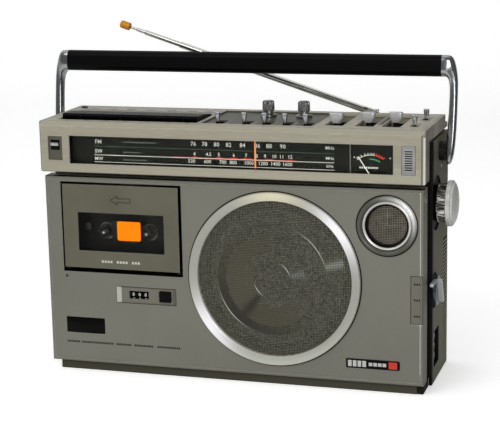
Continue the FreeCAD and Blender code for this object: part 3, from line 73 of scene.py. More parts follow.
# Studio
# A pale sweep of paper under and behind the recorder, clear from its back, two large soft lamps in
# front, and a room that is darker behind the camera and on the right, which bright metal mirrors.
def wire(tree, kind, inputs=(), **settings):
    """A node whose inputs are linked where a socket is given, and set to a value elsewhere."""
    node = tree.nodes.new(kind)
    for key, value in settings.items():
        setattr(node, key, value)
    for key, value in dict(inputs).items():
        if isinstance(value, bpy.types.NodeSocket):
            tree.links.new(value, node.inputs[key])
        else:
            node.inputs[key].default_value = value
    return node


def maths(tree, operation, *values):
    """The number that an operation gives from its values."""
    return wire(tree, "ShaderNodeMath", enumerate(values), operation=operation).outputs[0]


def between(tree, share, low, high):
    """The number that lies between two others by a share."""
    return wire(tree, "ShaderNodeMix", {0: share, 2: low, 3: high}).outputs[0]


def blend(tree, share, low, high):
    """The colour that lies between two others by a share."""
    return wire(tree, "ShaderNodeMix", {0: share, 6: low, 7: high}, data_type="RGBA").outputs[2]


def ranged(tree, value, start, stop, low=0.0, high=1.0):
    """A number carried from the range start to stop onto the range low to high, held at its ends."""
    return wire(tree, "ShaderNodeMapRange", {"Value": value, "From Min": start, "From Max": stop,
                                             "To Min": low, "To Max": high}).outputs[0]


def fall_off(tree, along, start, stop, end):
    """One up to start along X, falling to end at stop."""
    return ranged(tree, wire(tree, "ShaderNodeSeparateXYZ", {0: along}).outputs["X"], start, stop,
                  1.0, end)


def ray_masks(tree):
    """One for rays from the camera or through glass, and one for rays from a mirror."""
    path = wire(tree, "ShaderNodeLightPath").outputs
    clear = maths(tree, "MAXIMUM", path["Is Camera Ray"], path["Is Transmission Ray"])
    return clear, path["Is Glossy Ray"]


PAPER_WIDTH, PAPER_FRONT, PAPER_BEND, PAPER_RADIUS, PAPER_TOP = 7.0, -4.0, 1.6, 0.9, 3.2
sweep_angle = np.linspace(0, np.pi / 2, 17)
paper_line = np.concatenate([
    [[PAPER_FRONT, 0.0]],
    np.stack([PAPER_BEND + PAPER_RADIUS * np.sin(sweep_angle),
              PAPER_RADIUS * (1 - np.cos(sweep_angle))], -1),
    [[PAPER_BEND + PAPER_RADIUS, PAPER_TOP]]])
paper_rows = np.stack([np.insert(paper_line, 0, side * PAPER_WIDTH / 2, axis=1) for side in (-1, 1)])
paper_count = len(paper_line)
paper_index = np.arange(paper_count - 1)
paper_mesh = bpy.data.meshes.new("paper_sweep")
paper_mesh.from_pydata(paper_rows.reshape(-1, 3).tolist(), [],
                       np.stack([paper_index, paper_index + paper_count,
                                 paper_index + paper_count + 1, paper_index + 1], -1).tolist())
paper_mesh.shade_smooth()
paper = bpy.data.objects.new("paper_sweep", paper_mesh)
bpy.context.scene.collection.objects.link(paper)
paper_skin = bpy.data.materials.new("paper")
paper_skin.use_nodes = True
tree = paper_skin.node_tree
shader = tree.nodes["Principled BSDF"]
clear_ray = ray_masks(tree)[0]
fibre = wire(tree, "ShaderNodeTexNoise", {"Scale": 60.0, "Detail": 4.0}).outputs["Fac"]
geometry = wire(tree, "ShaderNodeNewGeometry").outputs
BLACK, WHITE, PAPER_GLOW = (0, 0, 0, 1), (1, 1, 1, 1), (0.37, 0.37, 0.37, 1)
paper_tint = blend(tree, fibre, (0.78, 0.78, 0.775, 1), (0.80, 0.80, 0.795, 1))
# Towards the right the paper is painted darker for the light it throws back and for reflections in it, a
# painted shade that dims the recorder's right side; the camera still sees it white.
paper_shaded_right = blend(tree, fall_off(tree, geometry["Position"], 0.2, 0.7, 0.12), BLACK, paper_tint)
tree.links.new(blend(tree, clear_ray, paper_shaded_right, WHITE), shader.inputs["Base Color"])
tree.links.new(blend(tree, clear_ray, BLACK, PAPER_GLOW), shader.inputs["Emission Color"])
shader.inputs["Emission Strength"].default_value = 1.0
shader.inputs["Roughness"].default_value = 0.9
shader.inputs["Specular IOR Level"].default_value = 0.1
clear_back = wire(tree, "ShaderNodeBsdfTransparent").outputs[0]
paper_side = wire(tree, "ShaderNodeMixShader", {0: geometry["Backfacing"], 1: shader.outputs[0],
                                                2: clear_back})
tree.links.new(paper_side.outputs[0], tree.nodes["Material Output"].inputs["Surface"])
paper_mesh.materials.append(paper_skin)

world = bpy.data.worlds.new("studio")
bpy.context.scene.world = world
world.use_nodes = True
tree = world.node_tree
clear_ray, glossy_ray = ray_masks(tree)
toward = wire(tree, "ShaderNodeTexCoord").outputs["Generated"]
behind = wire(tree, "ShaderNodeSeparateXYZ", {0: toward}).outputs["Y"]
mirrored = between(tree, glossy_ray, 0.86, ranged(tree, behind, -0.55, 0.25, 0.12, 1.0))
shaded = maths(tree, "MULTIPLY", mirrored, fall_off(tree, toward, -0.1, 0.6, 0.2))
background = tree.nodes["Background"]
tree.links.new(between(tree, clear_ray, shaded, 1.0), background.inputs["Strength"])
background.inputs["Color"].default_value = (1, 1, 1, 1)

LAMP_AIM = Vector((0, 0, 0.12))
for lamp_name, place, power, side in (("key_lamp", (-0.7, -1.5, 1.6), 7.6, 1.0),
                                      ("fill_lamp", (0.75, -1.3, 0.7), 8.6, 0.7)):
    lamp = bpy.data.objects.new(lamp_name, bpy.data.lights.new(lamp_name, "AREA"))
    lamp.data.energy = power
    lamp.data.shape = "SQUARE"
    lamp.data.size = side
    lamp.location = place
    lamp.rotation_euler = (LAMP_AIM - lamp.location).to_track_quat("-Z", "Y").to_euler()
    bpy.context.scene.collection.objects.link(lamp)


# Front panel
# Shallow grey moulding, painted in a warm satin grey, with a fine bead let into its rim and painted
# lighter as a highlight along it, a blank name plate, a plain badge, a printed row of marks and a
# sunk label at the right edge.
FACE = -53.0
PRINT, SINK = 0.06, 0.02
VIEWS = {"front": ((1, 0, 0), (0, 0, 1), (0, -1, 0)), "top": ((1, 0, 0), (0, 1, 0), (0, 0, 1)),
         "right": ((0, 1, 0), (0, 0, 1), (1, 0, 0))}


def turn(points, centre, facing):
    """Local (across, up, out) carried to the side it faces, named or given as three directions."""
    facing = VIEWS[facing] if isinstance(facing, str) else facing
    return np.asarray(centre, float) + np.asarray(points, float) @ np.array(facing, float)


def metres(points):
    """Millimetres from the front panel's face, as metres from the frame's origin."""
    return (np.asarray(points, float) + (0, FACE, 0)) / 1000


SHARP = 35


def hang(name, mesh, material, body, edge=0.0):
    """Puts a finished mesh on the body that carries it, with its sharp edges rounded by edge."""
    mesh.materials.append(material)
    item = bpy.data.objects.new(name, mesh)
    bpy.context.scene.collection.objects.link(item)
    if edge:
        bevel = item.modifiers.new("edge", "BEVEL")
        bevel.width = edge / 1000
        bevel.segments = 2
        bevel.limit_method = "ANGLE"
        bevel.angle_limit = math.radians(SHARP)
    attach(item, body)
    return item


def piece(name, groups, material, body, endless=False, edge=0.0, crease=SHARP):
    """Closed tubes as one mesh. Quads join neighbouring rings, and a flat face closes each end, or
    the last ring joins the first where endless. The sign of the volume turns the faces outwards."""
    corners, faces, start = [], [], 0
    for group in groups:
        rings = np.asarray(group, float)
        rings = rings.reshape(-1, *rings.shape[-3:])
        points = rings.reshape(-1, 3)
        index = np.arange(len(points)).reshape(rings.shape[:3])
        near, far = (index, np.roll(index, -1, 1)) if endless else (index[:, :-1], index[:, 1:])
        quads = np.stack([near, np.roll(near, -1, 2), np.roll(far, -1, 2), far], -1).reshape(-1, 4)
        ends = np.zeros((0, 4), int) if endless else np.concatenate([index[:, 0, ::-1], index[:, -1]])
        origin = points - points.mean(0)
        volume = sum(np.sum(origin[quads[:, 0]] * np.cross(origin[quads[:, k]], origin[quads[:, k + 1]]))
                     for k in (1, 2))
        if len(ends):
            volume += np.sum(origin[ends[:, :1]] * np.cross(origin[ends[:, 1:-1]], origin[ends[:, 2:]]))
        if volume < 0:
            quads, ends = quads[:, ::-1], ends[:, ::-1]
        corners.append(points)
        faces += (quads + start).tolist() + (ends + start).tolist()
        start += len(points)
    mesh = bpy.data.meshes.new(name)
    mesh.from_pydata(metres(np.concatenate(corners)).tolist(), [], faces)
    tidy = bmesh.new()
    tidy.from_mesh(mesh)
    bmesh.ops.remove_doubles(tidy, verts=tidy.verts, dist=1e-7)
    bmesh.ops.dissolve_degenerate(tidy, edges=tidy.edges, dist=1e-8)
    tidy.to_mesh(mesh)
    tidy.free()
    mesh.shade_smooth()
    mesh.set_sharp_from_angle(angle=math.radians(crease))
    return hang(name, mesh, material, body, edge)


def slab(width, height, radius, profile, steps=6):
    """Rounded rectangle carried along (inset, rise) pairs: an arc keeps its centre and loses the
    inset from its radius, and past that its centre moves in."""
    angle = (np.linspace(0, np.pi / 2, steps) + np.arange(4)[:, None] * np.pi / 2).ravel()
    right = np.repeat([1, -1, -1, 1], steps)
    top = np.repeat([1, 1, -1, -1], steps)
    inset, rise = np.array(profile, float).T[:, :, None]
    core = np.maximum(radius, inset)
    return np.stack([right * (width / 2 - core) + (core - inset) * np.cos(angle),
                     top * (height / 2 - core) + (core - inset) * np.sin(angle),
                     rise + 0 * angle], -1)


def spun(profile, steps=72, teeth=0, depth=0.0, cut=()):
    """(radius, rise) pairs turned about the outward axis. On the rows in cut the radius drops by
    depth times |sin(teeth x angle / 2)|, which leaves rounded flutes."""
    angle = np.linspace(0, 2 * np.pi, steps, endpoint=False)
    radius, rise = np.array(profile, float).T[:, :, None]
    radius = radius + 0 * angle
    radius[list(cut)] -= depth * np.abs(np.sin(teeth * angle / 2))
    return np.stack([radius * np.cos(angle), radius * np.sin(angle), rise + 0 * angle], -1)


def bars(boxes):
    """Straight bars between the corners x0, x1, y0, y1, z0, z1 of each row."""
    x0, x1, y0, y1, z0, z1 = np.array(boxes, float).T
    near = np.stack([[x0, y0, z0], [x1, y0, z0], [x1, y0, z1], [x0, y0, z1]])
    far = np.stack([[x0, y1, z0], [x1, y1, z0], [x1, y1, z1], [x0, y1, z1]])
    return np.stack([near, far]).transpose(3, 0, 1, 2)


def shade(red, green, blue):
    """A colour as it shows on a screen, as the linear values that a shader takes."""
    return tuple(((value / 255) ** 2.2) for value in (red, green, blue)) + (1.0,)


def effect(name, takes, gives):
    """An empty node group with named inputs and outputs."""
    group = bpy.data.node_groups.new(name, "ShaderNodeTree")
    kinds = {"colour": "NodeSocketColor", "number": "NodeSocketFloat", "vector": "NodeSocketVector"}
    for title, kind, value in takes:
        group.interface.new_socket(title, in_out="INPUT", socket_type=kinds[kind]).default_value = value
    for title, kind in gives:
        group.interface.new_socket(title, in_out="OUTPUT", socket_type=kinds[kind])
    return group, wire(group, "NodeGroupInput").outputs, wire(group, "NodeGroupOutput")


def own_place(tree):
    """A point's place in the piece's own coordinates."""
    return wire(tree, "ShaderNodeTexCoord").outputs["Object"]


def vectors(tree, operation, *values):
    """What an operation gives from its vectors: a number for a length or a dot product."""
    made = wire(tree, "ShaderNodeVectorMath", enumerate(values), operation=operation).outputs
    return made["Value" if operation in ("LENGTH", "DOT_PRODUCT") else "Vector"]


def noise(tree, place, scale, detail):
    """Soft noise from zero to one at a place."""
    return wire(tree, "ShaderNodeTexNoise", {"Vector": place, "Scale": scale,
                                             "Detail": detail}).outputs["Fac"]


# Grain: soft patches and a fine tooth, both from noise on the piece's own coordinates.
grain, given, result = effect(
    "grain", [("Base", "colour", (1, 1, 1, 1)), ("Tone", "colour", (1, 1, 1, 1)),
              ("Patches", "number", 12.0), ("Tooth", "number", 900.0),
              ("Stretch", "vector", (1, 1, 1)), ("Roughness", "number", 0.5),
              ("Spread", "number", 0.1)],
    [("Colour", "colour"), ("Roughness", "number"), ("Height", "number")])
lay = vectors(grain, "MULTIPLY", own_place(grain), given["Stretch"])
patches = noise(grain, lay, given["Patches"], 3.0)
tooth = noise(grain, lay, given["Tooth"], 2.0)
share = ranged(grain, between(grain, 0.45, patches, tooth), 0.38, 0.62)
rough = maths(grain, "MULTIPLY_ADD", maths(grain, "SUBTRACT", tooth, 0.5), given["Spread"],
              given["Roughness"])
for title, socket in (("Colour", blend(grain, share, given["Base"], given["Tone"])),
                      ("Roughness", rough), ("Height", tooth)):
    grain.links.new(socket, result.inputs[title])

# Edge: a small rounding for sharp edges, and a mask of where they turn a lighter colour, which is
# where the rounded normal leaves the true one, broken up by noise. The lighter colour stands both
# for paint worn thin and for a painted highlight along the edge.
rim, given, result = effect("edge", [("Radius", "number", 0.0005), ("Wear", "number", 0.3)],
                            [("Mask", "number"), ("Normal", "vector")])
softened = wire(rim, "ShaderNodeBevel", {"Radius": given["Radius"]}, samples=4).outputs[0]
evenness = vectors(rim, "DOT_PRODUCT", softened, wire(rim, "ShaderNodeNewGeometry").outputs["Normal"])
turned = ranged(rim, evenness, 0.995, 0.88)
edge_patchiness = ranged(rim, noise(rim, own_place(rim), 120.0, 4.0), 0.3, 0.62)
edge_wear_and_highlight_mask = maths(rim, "MULTIPLY", maths(rim, "MULTIPLY", turned, edge_patchiness), given["Wear"])
rim.links.new(edge_wear_and_highlight_mask, result.inputs["Mask"])
rim.links.new(softened, result.inputs["Normal"])

# Inside: one within a box of the piece's own coordinates, and zero elsewhere. A point is within
# where its least distance from the six faces, counted inwards, is above zero.
inside, given, result = effect("inside", [("Low", "vector", (0, 0, 0)), ("High", "vector", (1, 1, 1))],
                               [("Mask", "number")])
place = own_place(inside)
room_left = vectors(inside, "MINIMUM", vectors(inside, "SUBTRACT", place, given["Low"]),
                    vectors(inside, "SUBTRACT", given["High"], place))
room_left = wire(inside, "ShaderNodeSeparateXYZ", {0: room_left}).outputs
least = maths(inside, "MINIMUM", maths(inside, "MINIMUM", room_left[0], room_left[1]), room_left[2])
inside.links.new(maths(inside, "GREATER_THAN", least, 0.0), result.inputs["Mask"])

# Grooves: circles about an axis, as a lathe or a buffing wheel leaves them, from noise along the
# distance from the axis.
grooves, given, result = effect("grooves", [("Centre", "vector", (0, 0, 0)),
                                            ("Axis", "vector", (0, 1, 0)),
                                            ("Rings", "number", 900.0)], [("Height", "number")])
spoke = vectors(grooves, "SUBTRACT", own_place(grooves), given["Centre"])
reach = vectors(grooves, "LENGTH", vectors(grooves, "CROSS_PRODUCT", spoke, given["Axis"]))
circles = wire(grooves, "ShaderNodeTexNoise", {"W": maths(grooves, "MULTIPLY", reach, given["Rings"]),
                                               "Scale": 1.0, "Detail": 1.0}, noise_dimensions="1D")
grooves.links.new(circles.outputs["Fac"], result.inputs["Height"])

# Fan: sectors about an axis that points out of the front, kept between two radii, for painted
# highlights where turned metal catches the light and for painted light and shade on a net. The
# brightness is ((1 + cos(sectors x angle)) / 2) to a power.
fan, given, result = effect("fan", [("Centre", "vector", (0, 0, 0)), ("Angle", "number", 0.5),
                                    ("Sectors", "number", 2.0), ("Power", "number", 6.0),
                                    ("Inner", "number", 0.0), ("Outer", "number", 1.0)],
                            [("Mask", "number")])
spoke = vectors(fan, "SUBTRACT", own_place(fan), given["Centre"])
spoke = wire(fan, "ShaderNodeSeparateXYZ", {0: spoke}).outputs
bearing = maths(fan, "SUBTRACT", maths(fan, "ARCTAN2", spoke["Z"], spoke["X"]), given["Angle"])
wave = maths(fan, "COSINE", maths(fan, "MULTIPLY", bearing, given["Sectors"]))
crest = maths(fan, "POWER", maths(fan, "MULTIPLY_ADD", wave, 0.5, 0.5), given["Power"])
reach = wire(fan, "ShaderNodeCombineXYZ", {0: spoke["X"], 1: spoke["Z"]}).outputs[0]
reach = vectors(fan, "LENGTH", reach)
within = maths(fan, "MULTIPLY", maths(fan, "GREATER_THAN", reach, given["Inner"]),
               maths(fan, "LESS_THAN", reach, given["Outer"]))
fan.links.new(maths(fan, "MULTIPLY", within, crest), result.inputs["Mask"])


def place_group(tree, group, **values):
    """A node group placed in a material, with its own values, as its outputs."""
    return wire(tree, "ShaderNodeGroup", values, node_tree=group).outputs


RELIEF = 0.0002


def finish(name, base, tone, rough, metal=0.0, patches=14.0, tooth=1400.0, stretch=(1, 1, 1),
           bump=0.1, spread=0.12, edge=0.0, edge_wear_and_highlight_share=0.0, edge_wear_and_highlight=None, boxes=(), specular=0.4,
           lathe=None, fans=(), glow=0.0):
    """A finish from grain, a rounded edge that turns to another colour, which stands both for worn
    paint and for a painted highlight, areas of another colour, given as (low, high, colour), some of
    them painted shade and light, lathe marks, given as (centre, axis, rings per metre, share of the
    relief), and sectors of another colour, painted highlights and shade, given as (centre, angle,
    sectors, power, colour, inner radius, outer radius). Glow makes the colour shine with no lamp, a
    painted brightness."""
    material = bpy.data.materials.new(name)
    material.use_nodes = True
    tree = material.node_tree
    shader = tree.nodes["Principled BSDF"]
    made = place_group(tree, grain, Base=shade(*base), Tone=shade(*tone), Patches=patches,
                       Tooth=tooth, Stretch=stretch, Roughness=rough, Spread=spread)
    colour, height = made["Colour"], made["Height"]
    if lathe:
        centre, axis, rings, share = lathe
        lines = place_group(tree, grooves, Centre=tuple(metres(centre)), Axis=axis, Rings=rings)
        height = between(tree, share, height, lines["Height"])
    lift = wire(tree, "ShaderNodeBump", {"Strength": bump, "Distance": RELIEF, "Height": height})
    if edge:
        along = place_group(tree, rim, Radius=edge / 1000, Wear=edge_wear_and_highlight_share)
        tree.links.new(along["Normal"], lift.inputs["Normal"])
        colour = blend(tree, along["Mask"], colour, shade(*edge_wear_and_highlight))
    for low, high, other in boxes:
        mask = place_group(tree, inside, Low=tuple(metres(low)), High=tuple(metres(high)))["Mask"]
        colour = blend(tree, mask, colour, shade(*other))
    for centre, angle, sectors, power, other, *radii in fans:
        inner, outer = (radius / 1000 for radius in radii or (0, 999))
        mask = place_group(tree, fan, Centre=tuple(metres(centre)), Angle=math.radians(angle),
                           Sectors=sectors, Power=power, Inner=inner, Outer=outer)["Mask"]
        colour = blend(tree, mask, colour, shade(*other))
    for socket, title in ((colour, "Base Color"), (made["Roughness"], "Roughness"),
                          (lift.outputs[0], "Normal"), (colour, "Emission Color")):
        tree.links.new(socket, shader.inputs[title])
    shader.inputs["Metallic"].default_value = metal
    shader.inputs["Emission Strength"].default_value = glow
    shader.inputs["Specular IOR Level"].default_value = specular
    return material


def coat_node(material, *names):
    """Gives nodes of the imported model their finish."""
    for name in names:
        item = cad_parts[name]
        if not item.material_slots:
            item.data.materials.append(material)
        for holder in item.material_slots:
            holder.material = material


# Black that stands for shade in gaps and recesses, and also for black moulding at the door.
BLACK_AND_GAP_SHADE = (8, 8, 7)
# The panel's paint carries painted shade: the walls of the door's opening are black, partly as black
# moulding and partly as painted shade that widens the dark gap round the door; the left side face is
# darker, as shade; the front of the top face under the band is a black painted shadow line, and behind
# it the top face is painted lighter against the shade there.
panel_paint = finish("panel_paint", (119, 118, 108), (111, 110, 101), 0.42, patches=9, tooth=2200,
                     bump=0.12, edge=0.7, edge_wear_and_highlight_share=0.75, edge_wear_and_highlight=(168, 166, 155), boxes=[
                         ((-163.4, 0.3, 96.8), (-44.6, 4.0, 183.0), BLACK_AND_GAP_SHADE),
                         ((-178.9, -0.1, 8.0), (-178.2, 18.0, 188.0), (58, 57, 50)),
                         ((-179.0, 0.8, 187.2), (179.0, 6.5, 187.7), BLACK_AND_GAP_SHADE),
                         ((-177.0, 6.5, 187.2), (177.0, 17.2, 187.7), (150, 149, 138)),
                         ((-111.2, 0.05, 69.2), (-52.0, 1.2, 85.2), (112, 110, 99))])
coat_node(panel_paint, "front_cabinet")
PANEL_WIDTH, PANEL_HEIGHT, PANEL_MIDDLE = 357.5, 178.5, 98.25
# The bead is painted lighter than the panel as a painted highlight along the rim, brightest down the
# right side, and darker where the sunk label crosses it.
pale_paint_and_bead_highlight = finish("pale_paint_and_bead_highlight", (138, 136, 124), (128, 126, 115), 0.35, patches=30,
                    boxes=[((175.0, -1.0, 20.0), (177.0, 0.5, 187.0), (200, 200, 192)),
                           ((175.0, -1.0, 66.0), (177.0, 0.5, 110.5), (104, 101, 91))])
piece("panel_bead", [turn(slab(PANEL_WIDTH, PANEL_HEIGHT, 2.0, [(2.65, -0.45), (2.7, 0.1),
                                                                (3.2, 0.1), (3.25, -0.45)]),
                          (0, 0, PANEL_MIDDLE), "front")],
      pale_paint_and_bead_highlight, "cabinet", endless=True)

plate_black = finish("plate_black", (14, 14, 13), (9, 9, 8), 0.3, tooth=1800, bump=0.05,
                     specular=0.12)
piece("name_plate", [turn(slab(38.4, 15.0, 0.6, [(0, -0.55), (0, -0.1), (0.3, 0.05)]),
                          (-143.5, 0, 45.0), "front")], plate_black, "cabinet")
MARK_PITCH = 1.9
front_marks = [(x, x + 1.2, -PRINT, SINK, 27.6, 29.5)
               for start, stop in ((-163, -151), (-148, -116), (-113, -98), (-95, -77), (-72, -50))
               for x in np.arange(start, stop, MARK_PITCH)]
piece("front_marks", [bars(front_marks)], plate_black, "cabinet")

BADGE_X, BADGE_Z, BADGE_LONG, BADGE_TALL = 133.0, 26.8, 49.0, 8.6
piece("badge_base", [turn(slab(BADGE_LONG, BADGE_TALL, 1.2, [(0, -0.1), (0, 0.5), (0.25, 0.7)]),
                          (BADGE_X, 0, BADGE_Z), "front")], plate_black, "cabinet")
badge_bright = finish("badge_bright", (214, 214, 210), (196, 196, 192), 0.25, metal=0.6,
                      patches=80, stretch=(0.1, 1, 1))


def badge_bars(rows):
    """Raised blocks on the badge, each row giving start, width and half height."""
    return bars([(BADGE_X + x, BADGE_X + x + width, -0.95, -0.6, BADGE_Z - half, BADGE_Z + half)
                 for x, width, half in rows])


badge_rows = [(x, 3.4, 2.9) for x in (-22.6, -18.2, -13.8, -9.4)]
badge_rows += [(x, 3.4, 1.6) for x in (-3.6, 0.6, 4.8, 9.0)]
badge_red = finish("badge_red", (206, 62, 48), (190, 54, 42), 0.3, patches=80)
for name, rows, skin, slot in (("badge_blocks", badge_rows, badge_bright, "bright_ring"),
                               ("badge_end", [(14.6, 7.8, 3.2)], badge_red, "pointer_orange")):
    piece(name, [badge_bars(rows)], skin, "cabinet", edge=0.15)

label_paint = finish("label_paint", (110, 107, 96), (102, 99, 89), 0.5, tooth=1800)
piece("side_label", [bars([(167.5, 178.4, 0.2, 0.62, 66.5, 110.0)])], label_paint, "cabinet",
      edge=0.1)
piece("side_label_marks", [bars([(x, x + 1.3, 0.2 - PRINT, 0.22, z - 0.9, z + 0.9)
                                 for z in (102.8, 88.4, 73.6) for x in (170.2, 172.3, 174.4)]
                                + [(x, x + 0.4, -PRINT, 0.25, 66.3, 110.3) for x in (167.1, 177.9)]
                                + [(167.1, 178.3, -PRINT, 0.25, 110.0, 110.4)])],
      plate_black, "cabinet")
piece("side_label_lip", [bars([(167.2, 178.4, -0.25, 0.4, 65.3, 66.2)])], pale_paint_and_bead_highlight, "cabinet",
      edge=0.1)
piece("panel_pin", [turn(spun([(1.3, -0.3), (1.3, 0.0), (1.0, 0.15), (0.6, 0.15), (0.4, -0.2)], 24),
                         (-160.5, 0, 92.5), "front")], plate_black, "cabinet")


# Frame and plinth
# Black moulded frame that carries everything: it shows in the groove round the cabinet, under
# the piano keys and as the plinth that the recorder stands on. A block closes the plinth's gap
# under the panel's right corner.
frame_black = finish("frame_black", (17, 18, 17), (12, 13, 12), 0.55, tooth=1600, bump=0.25,
                     edge=0.5, edge_wear_and_highlight_share=0.35, edge_wear_and_highlight=(60, 60, 56), specular=0.15,
                     boxes=[((-190, -1, -1), (190, 20, 9.2), (70, 68, 58))])
coat_node(frame_black, "chassis_frame")
foot_black = finish("foot_black", (36, 35, 30), (28, 27, 23), 0.6, tooth=1600, specular=0.12)
piece("plinth_ends", [bars([(172.02, 178.0, 5.2, 29.3, 0.0, 8.95)])], foot_black, "cabinet",
      edge=0.6)

# Rear shell
# Dark olive grey shell with a fine spark texture and a black leading edge. Louvres are let into both
# sides, each rib's face painted lighter as if lit and its walls black as painted shade, and small
# marks stand beside the band selector.
SHELL_SIDE = 181.0
LIP_AND_RECESS_SHADE_BLACK = (14, 14, 12)
SPARKED = dict(patches=16, tooth=2600, bump=0.4, edge_wear_and_highlight_share=0.5, specular=0.25)
# Painted shade in the shell's paint: the floor of the sunk panel round the tuning knob and the band
# selector is black, and so are the walls of the opening round the jack plate.
shell_paint = finish("shell_paint", (110, 108, 90), (98, 97, 81), 0.5, edge=0.8,
                     edge_wear_and_highlight=(136, 135, 118), **SPARKED, boxes=[
                         ((-182.0, 28.0, 0.0), (-178.0, 35.5, 226.0), LIP_AND_RECESS_SHADE_BLACK),
                         ((178.0, 28.0, 0.0), (182.0, 35.5, 226.0), LIP_AND_RECESS_SHADE_BLACK),
                         ((178.6, 23.0, 71.0), (180.9, 76.5, 192.0), LIP_AND_RECESS_SHADE_BLACK),
                         ((168.0, 38.5, 14.5), (180.9, 64.5, 49.5), BLACK_AND_GAP_SHADE)])
coat_node(shell_paint, "rear_cabinet")
LOUVRE_PITCH, LOUVRE_FACE, LOUVRE_LOW, LOUVRE_HIGH = 3.6, 1.7, 9.2, 123.0
louvre_rows = [(86.4, 105.6, z, z + LOUVRE_FACE)
               for z in np.arange(LOUVRE_LOW, LOUVRE_HIGH, LOUVRE_PITCH)]
louvre_lit_paint = finish("louvre_lit_paint", (166, 164, 142), (148, 146, 126), 0.5, tooth=2600, bump=0.3,
                      specular=0.25)
louvre_shade_black = finish("louvre_shade_black", (8, 8, 7), (6, 6, 5), 0.7, specular=0.05)
# Each rib is the shell's own moulding: its face is painted lighter as if lit, its walls black as painted
# shade, and a black sheet behind the field is a painted shadow.
for side, label in ((1, "right"), (-1, "left")):
    for name, deep, shallow, rows, skin in (
            ("louvres_", 1.5, 0.15, louvre_rows, louvre_shade_black),
            ("louvre_faces_", 0.14, 0.05, louvre_rows, louvre_lit_paint),
            ("louvre_shadow_", 1.52, 1.42, [(86.2, 105.8, 8.2, 124.8)], louvre_shade_black)):
        low, high = sorted((side * (SHELL_SIDE - deep), side * (SHELL_SIDE - shallow)))
        piece(name + label, [bars([(low, high, *row) for row in rows])], skin, "cabinet")
piece("selector_marks", [bars([(SHELL_SIDE - SINK, SHELL_SIDE + PRINT, y - 0.5, y + 0.5, z - 1.6,
                                z + 1.6) for y, z in ((62.5, 93.0), (63.5, 88.0), (62.5, 83.0))])],
      pale_paint_and_bead_highlight, "cabinet")
EIGHTH_TURN = np.array([[0.7071, 0.7071, 0], [-0.7071, 0.7071, 0], [0, 0, 1]])
piece("arm_mark", [turn(slab(3.0, 3.0, 0.2, [(0, -SINK), (0, PRINT), (0.1, PRINT)]) @ EIGHTH_TURN,
                        (SHELL_SIDE, 74.0, 196.0), "right")], badge_bright, "cabinet")

# Battery cover
# Door in the back of the shell, moulded in the same olive plastic a shade darker, and hung on two
# stub pins at its foot.
cover_paint = finish("cover_paint", (93, 92, 76), (84, 83, 69), 0.5, edge=0.6,
                     edge_wear_and_highlight=(132, 131, 115), **SPARKED)
coat_node(cover_paint, "battery_cover")

# Dial band
# Champagne housing with a fine brushing along it. An indicator window is let in at its left end
# and a slotted cover over the microphone at its right end.
BAND_FACE = -6.0
BRUSHED = dict(tooth=2600, stretch=(0.03, 1, 1))
# Painted light and shade on the band: its left side face darker, a dark line along the foot of its
# front, down the right front edge a dark line and then a bright strip of painted highlight with the
# right side face darker behind it, and the dial window's left wall lighter where it catches light.
band_paint = finish("band_paint", (164, 159, 141), (146, 141, 124), 0.38, patches=55, bump=0.25,
                    edge=0.8, edge_wear_and_highlight_share=0.8, edge_wear_and_highlight=(214, 210, 196), **BRUSHED, boxes=[
                        ((-180.5, -5.35, 192.0), (-179.2, 10.0, 240.0), (70, 67, 57)),
                        ((177.3, -6.2, 192.6), (178.3, -5.2, 236.0), (120, 116, 100)),
                        ((178.9, -5.4, 192.6), (180.4, 0.5, 234.0), (238, 237, 228)),
                        ((180.0, 0.5, 192.6), (180.4, 40.0, 240.0), (118, 114, 100)),
                        ((-180.0, -6.2, 192.6), (179.0, -5.2, 193.4), (104, 100, 86)),
                        ((-151.4, -5.6, 200.5), (-150.2, 2.9, 227.5), (222, 219, 205))])
coat_node(band_paint, "dial_band")
INDICATOR_X = -164.0
inset_paint = finish("inset_paint", (98, 96, 84), (86, 84, 73), 0.4, metal=0.2, patches=90)
piece("indicator_frame", [turn(slab(13.7, 21.9, 0.5, [(0, -1.48), (0, -0.15), (0.3, 0), (1.0, 0),
                                                      (1.3, -0.7)]),
                               (INDICATOR_X, BAND_FACE, 215.0), "front")], inset_paint, "cabinet")
piece("indicator_lens", [turn(slab(8.8, 9.4, 0.4, [(0, -0.75), (0, -0.3), (0.3, -0.1)]),
                              (INDICATOR_X, BAND_FACE, 218.0), "front")], plate_black, "cabinet")
piece("indicator_bar", [turn(slab(7.6, 2.8, 0.3, [(0, -0.2), (0, -0.04), (0.1, 0.0)]),
                             (INDICATOR_X - 0.6, BAND_FACE, 218.6), "front")], badge_bright, "cabinet")
MIC_X, MIC_Z = 166.3, 213.9
mic_metal = finish("mic_metal", (190, 190, 188), (168, 168, 168), 0.3, metal=0.85, patches=50,
                   tooth=2400, stretch=(0.05, 1, 1), bump=0.15)
piece("microphone_frame", [turn(slab(12.3, 25.1, 1.2, [(0, -1.3), (0, -0.25), (0.3, 0.0),
                                                       (1.1, 0.0), (1.4, -0.5), (1.4, -1.3)]),
                                (MIC_X, BAND_FACE, MIC_Z), "front")], mic_metal, "cabinet",
      endless=True)
piece("microphone_cover", [turn(slab(9.6, 22.4, 0.8, [(0, -1.4), (0, -0.5), (0.3, -0.25)]),
                                (MIC_X, BAND_FACE, MIC_Z), "front")], mic_metal, "cabinet")
slot_z = np.linspace(-8.1, 8.1, 9)
piece("microphone_slots", [np.stack([turn(slab(7.0, 1.0, 0.45, [(0, -0.4), (0, -0.19), (0.08, -0.19)])
                                          + (0, z, 0), (MIC_X, BAND_FACE, MIC_Z), "front")
                                     for z in slot_z])], plate_black, "cabinet")

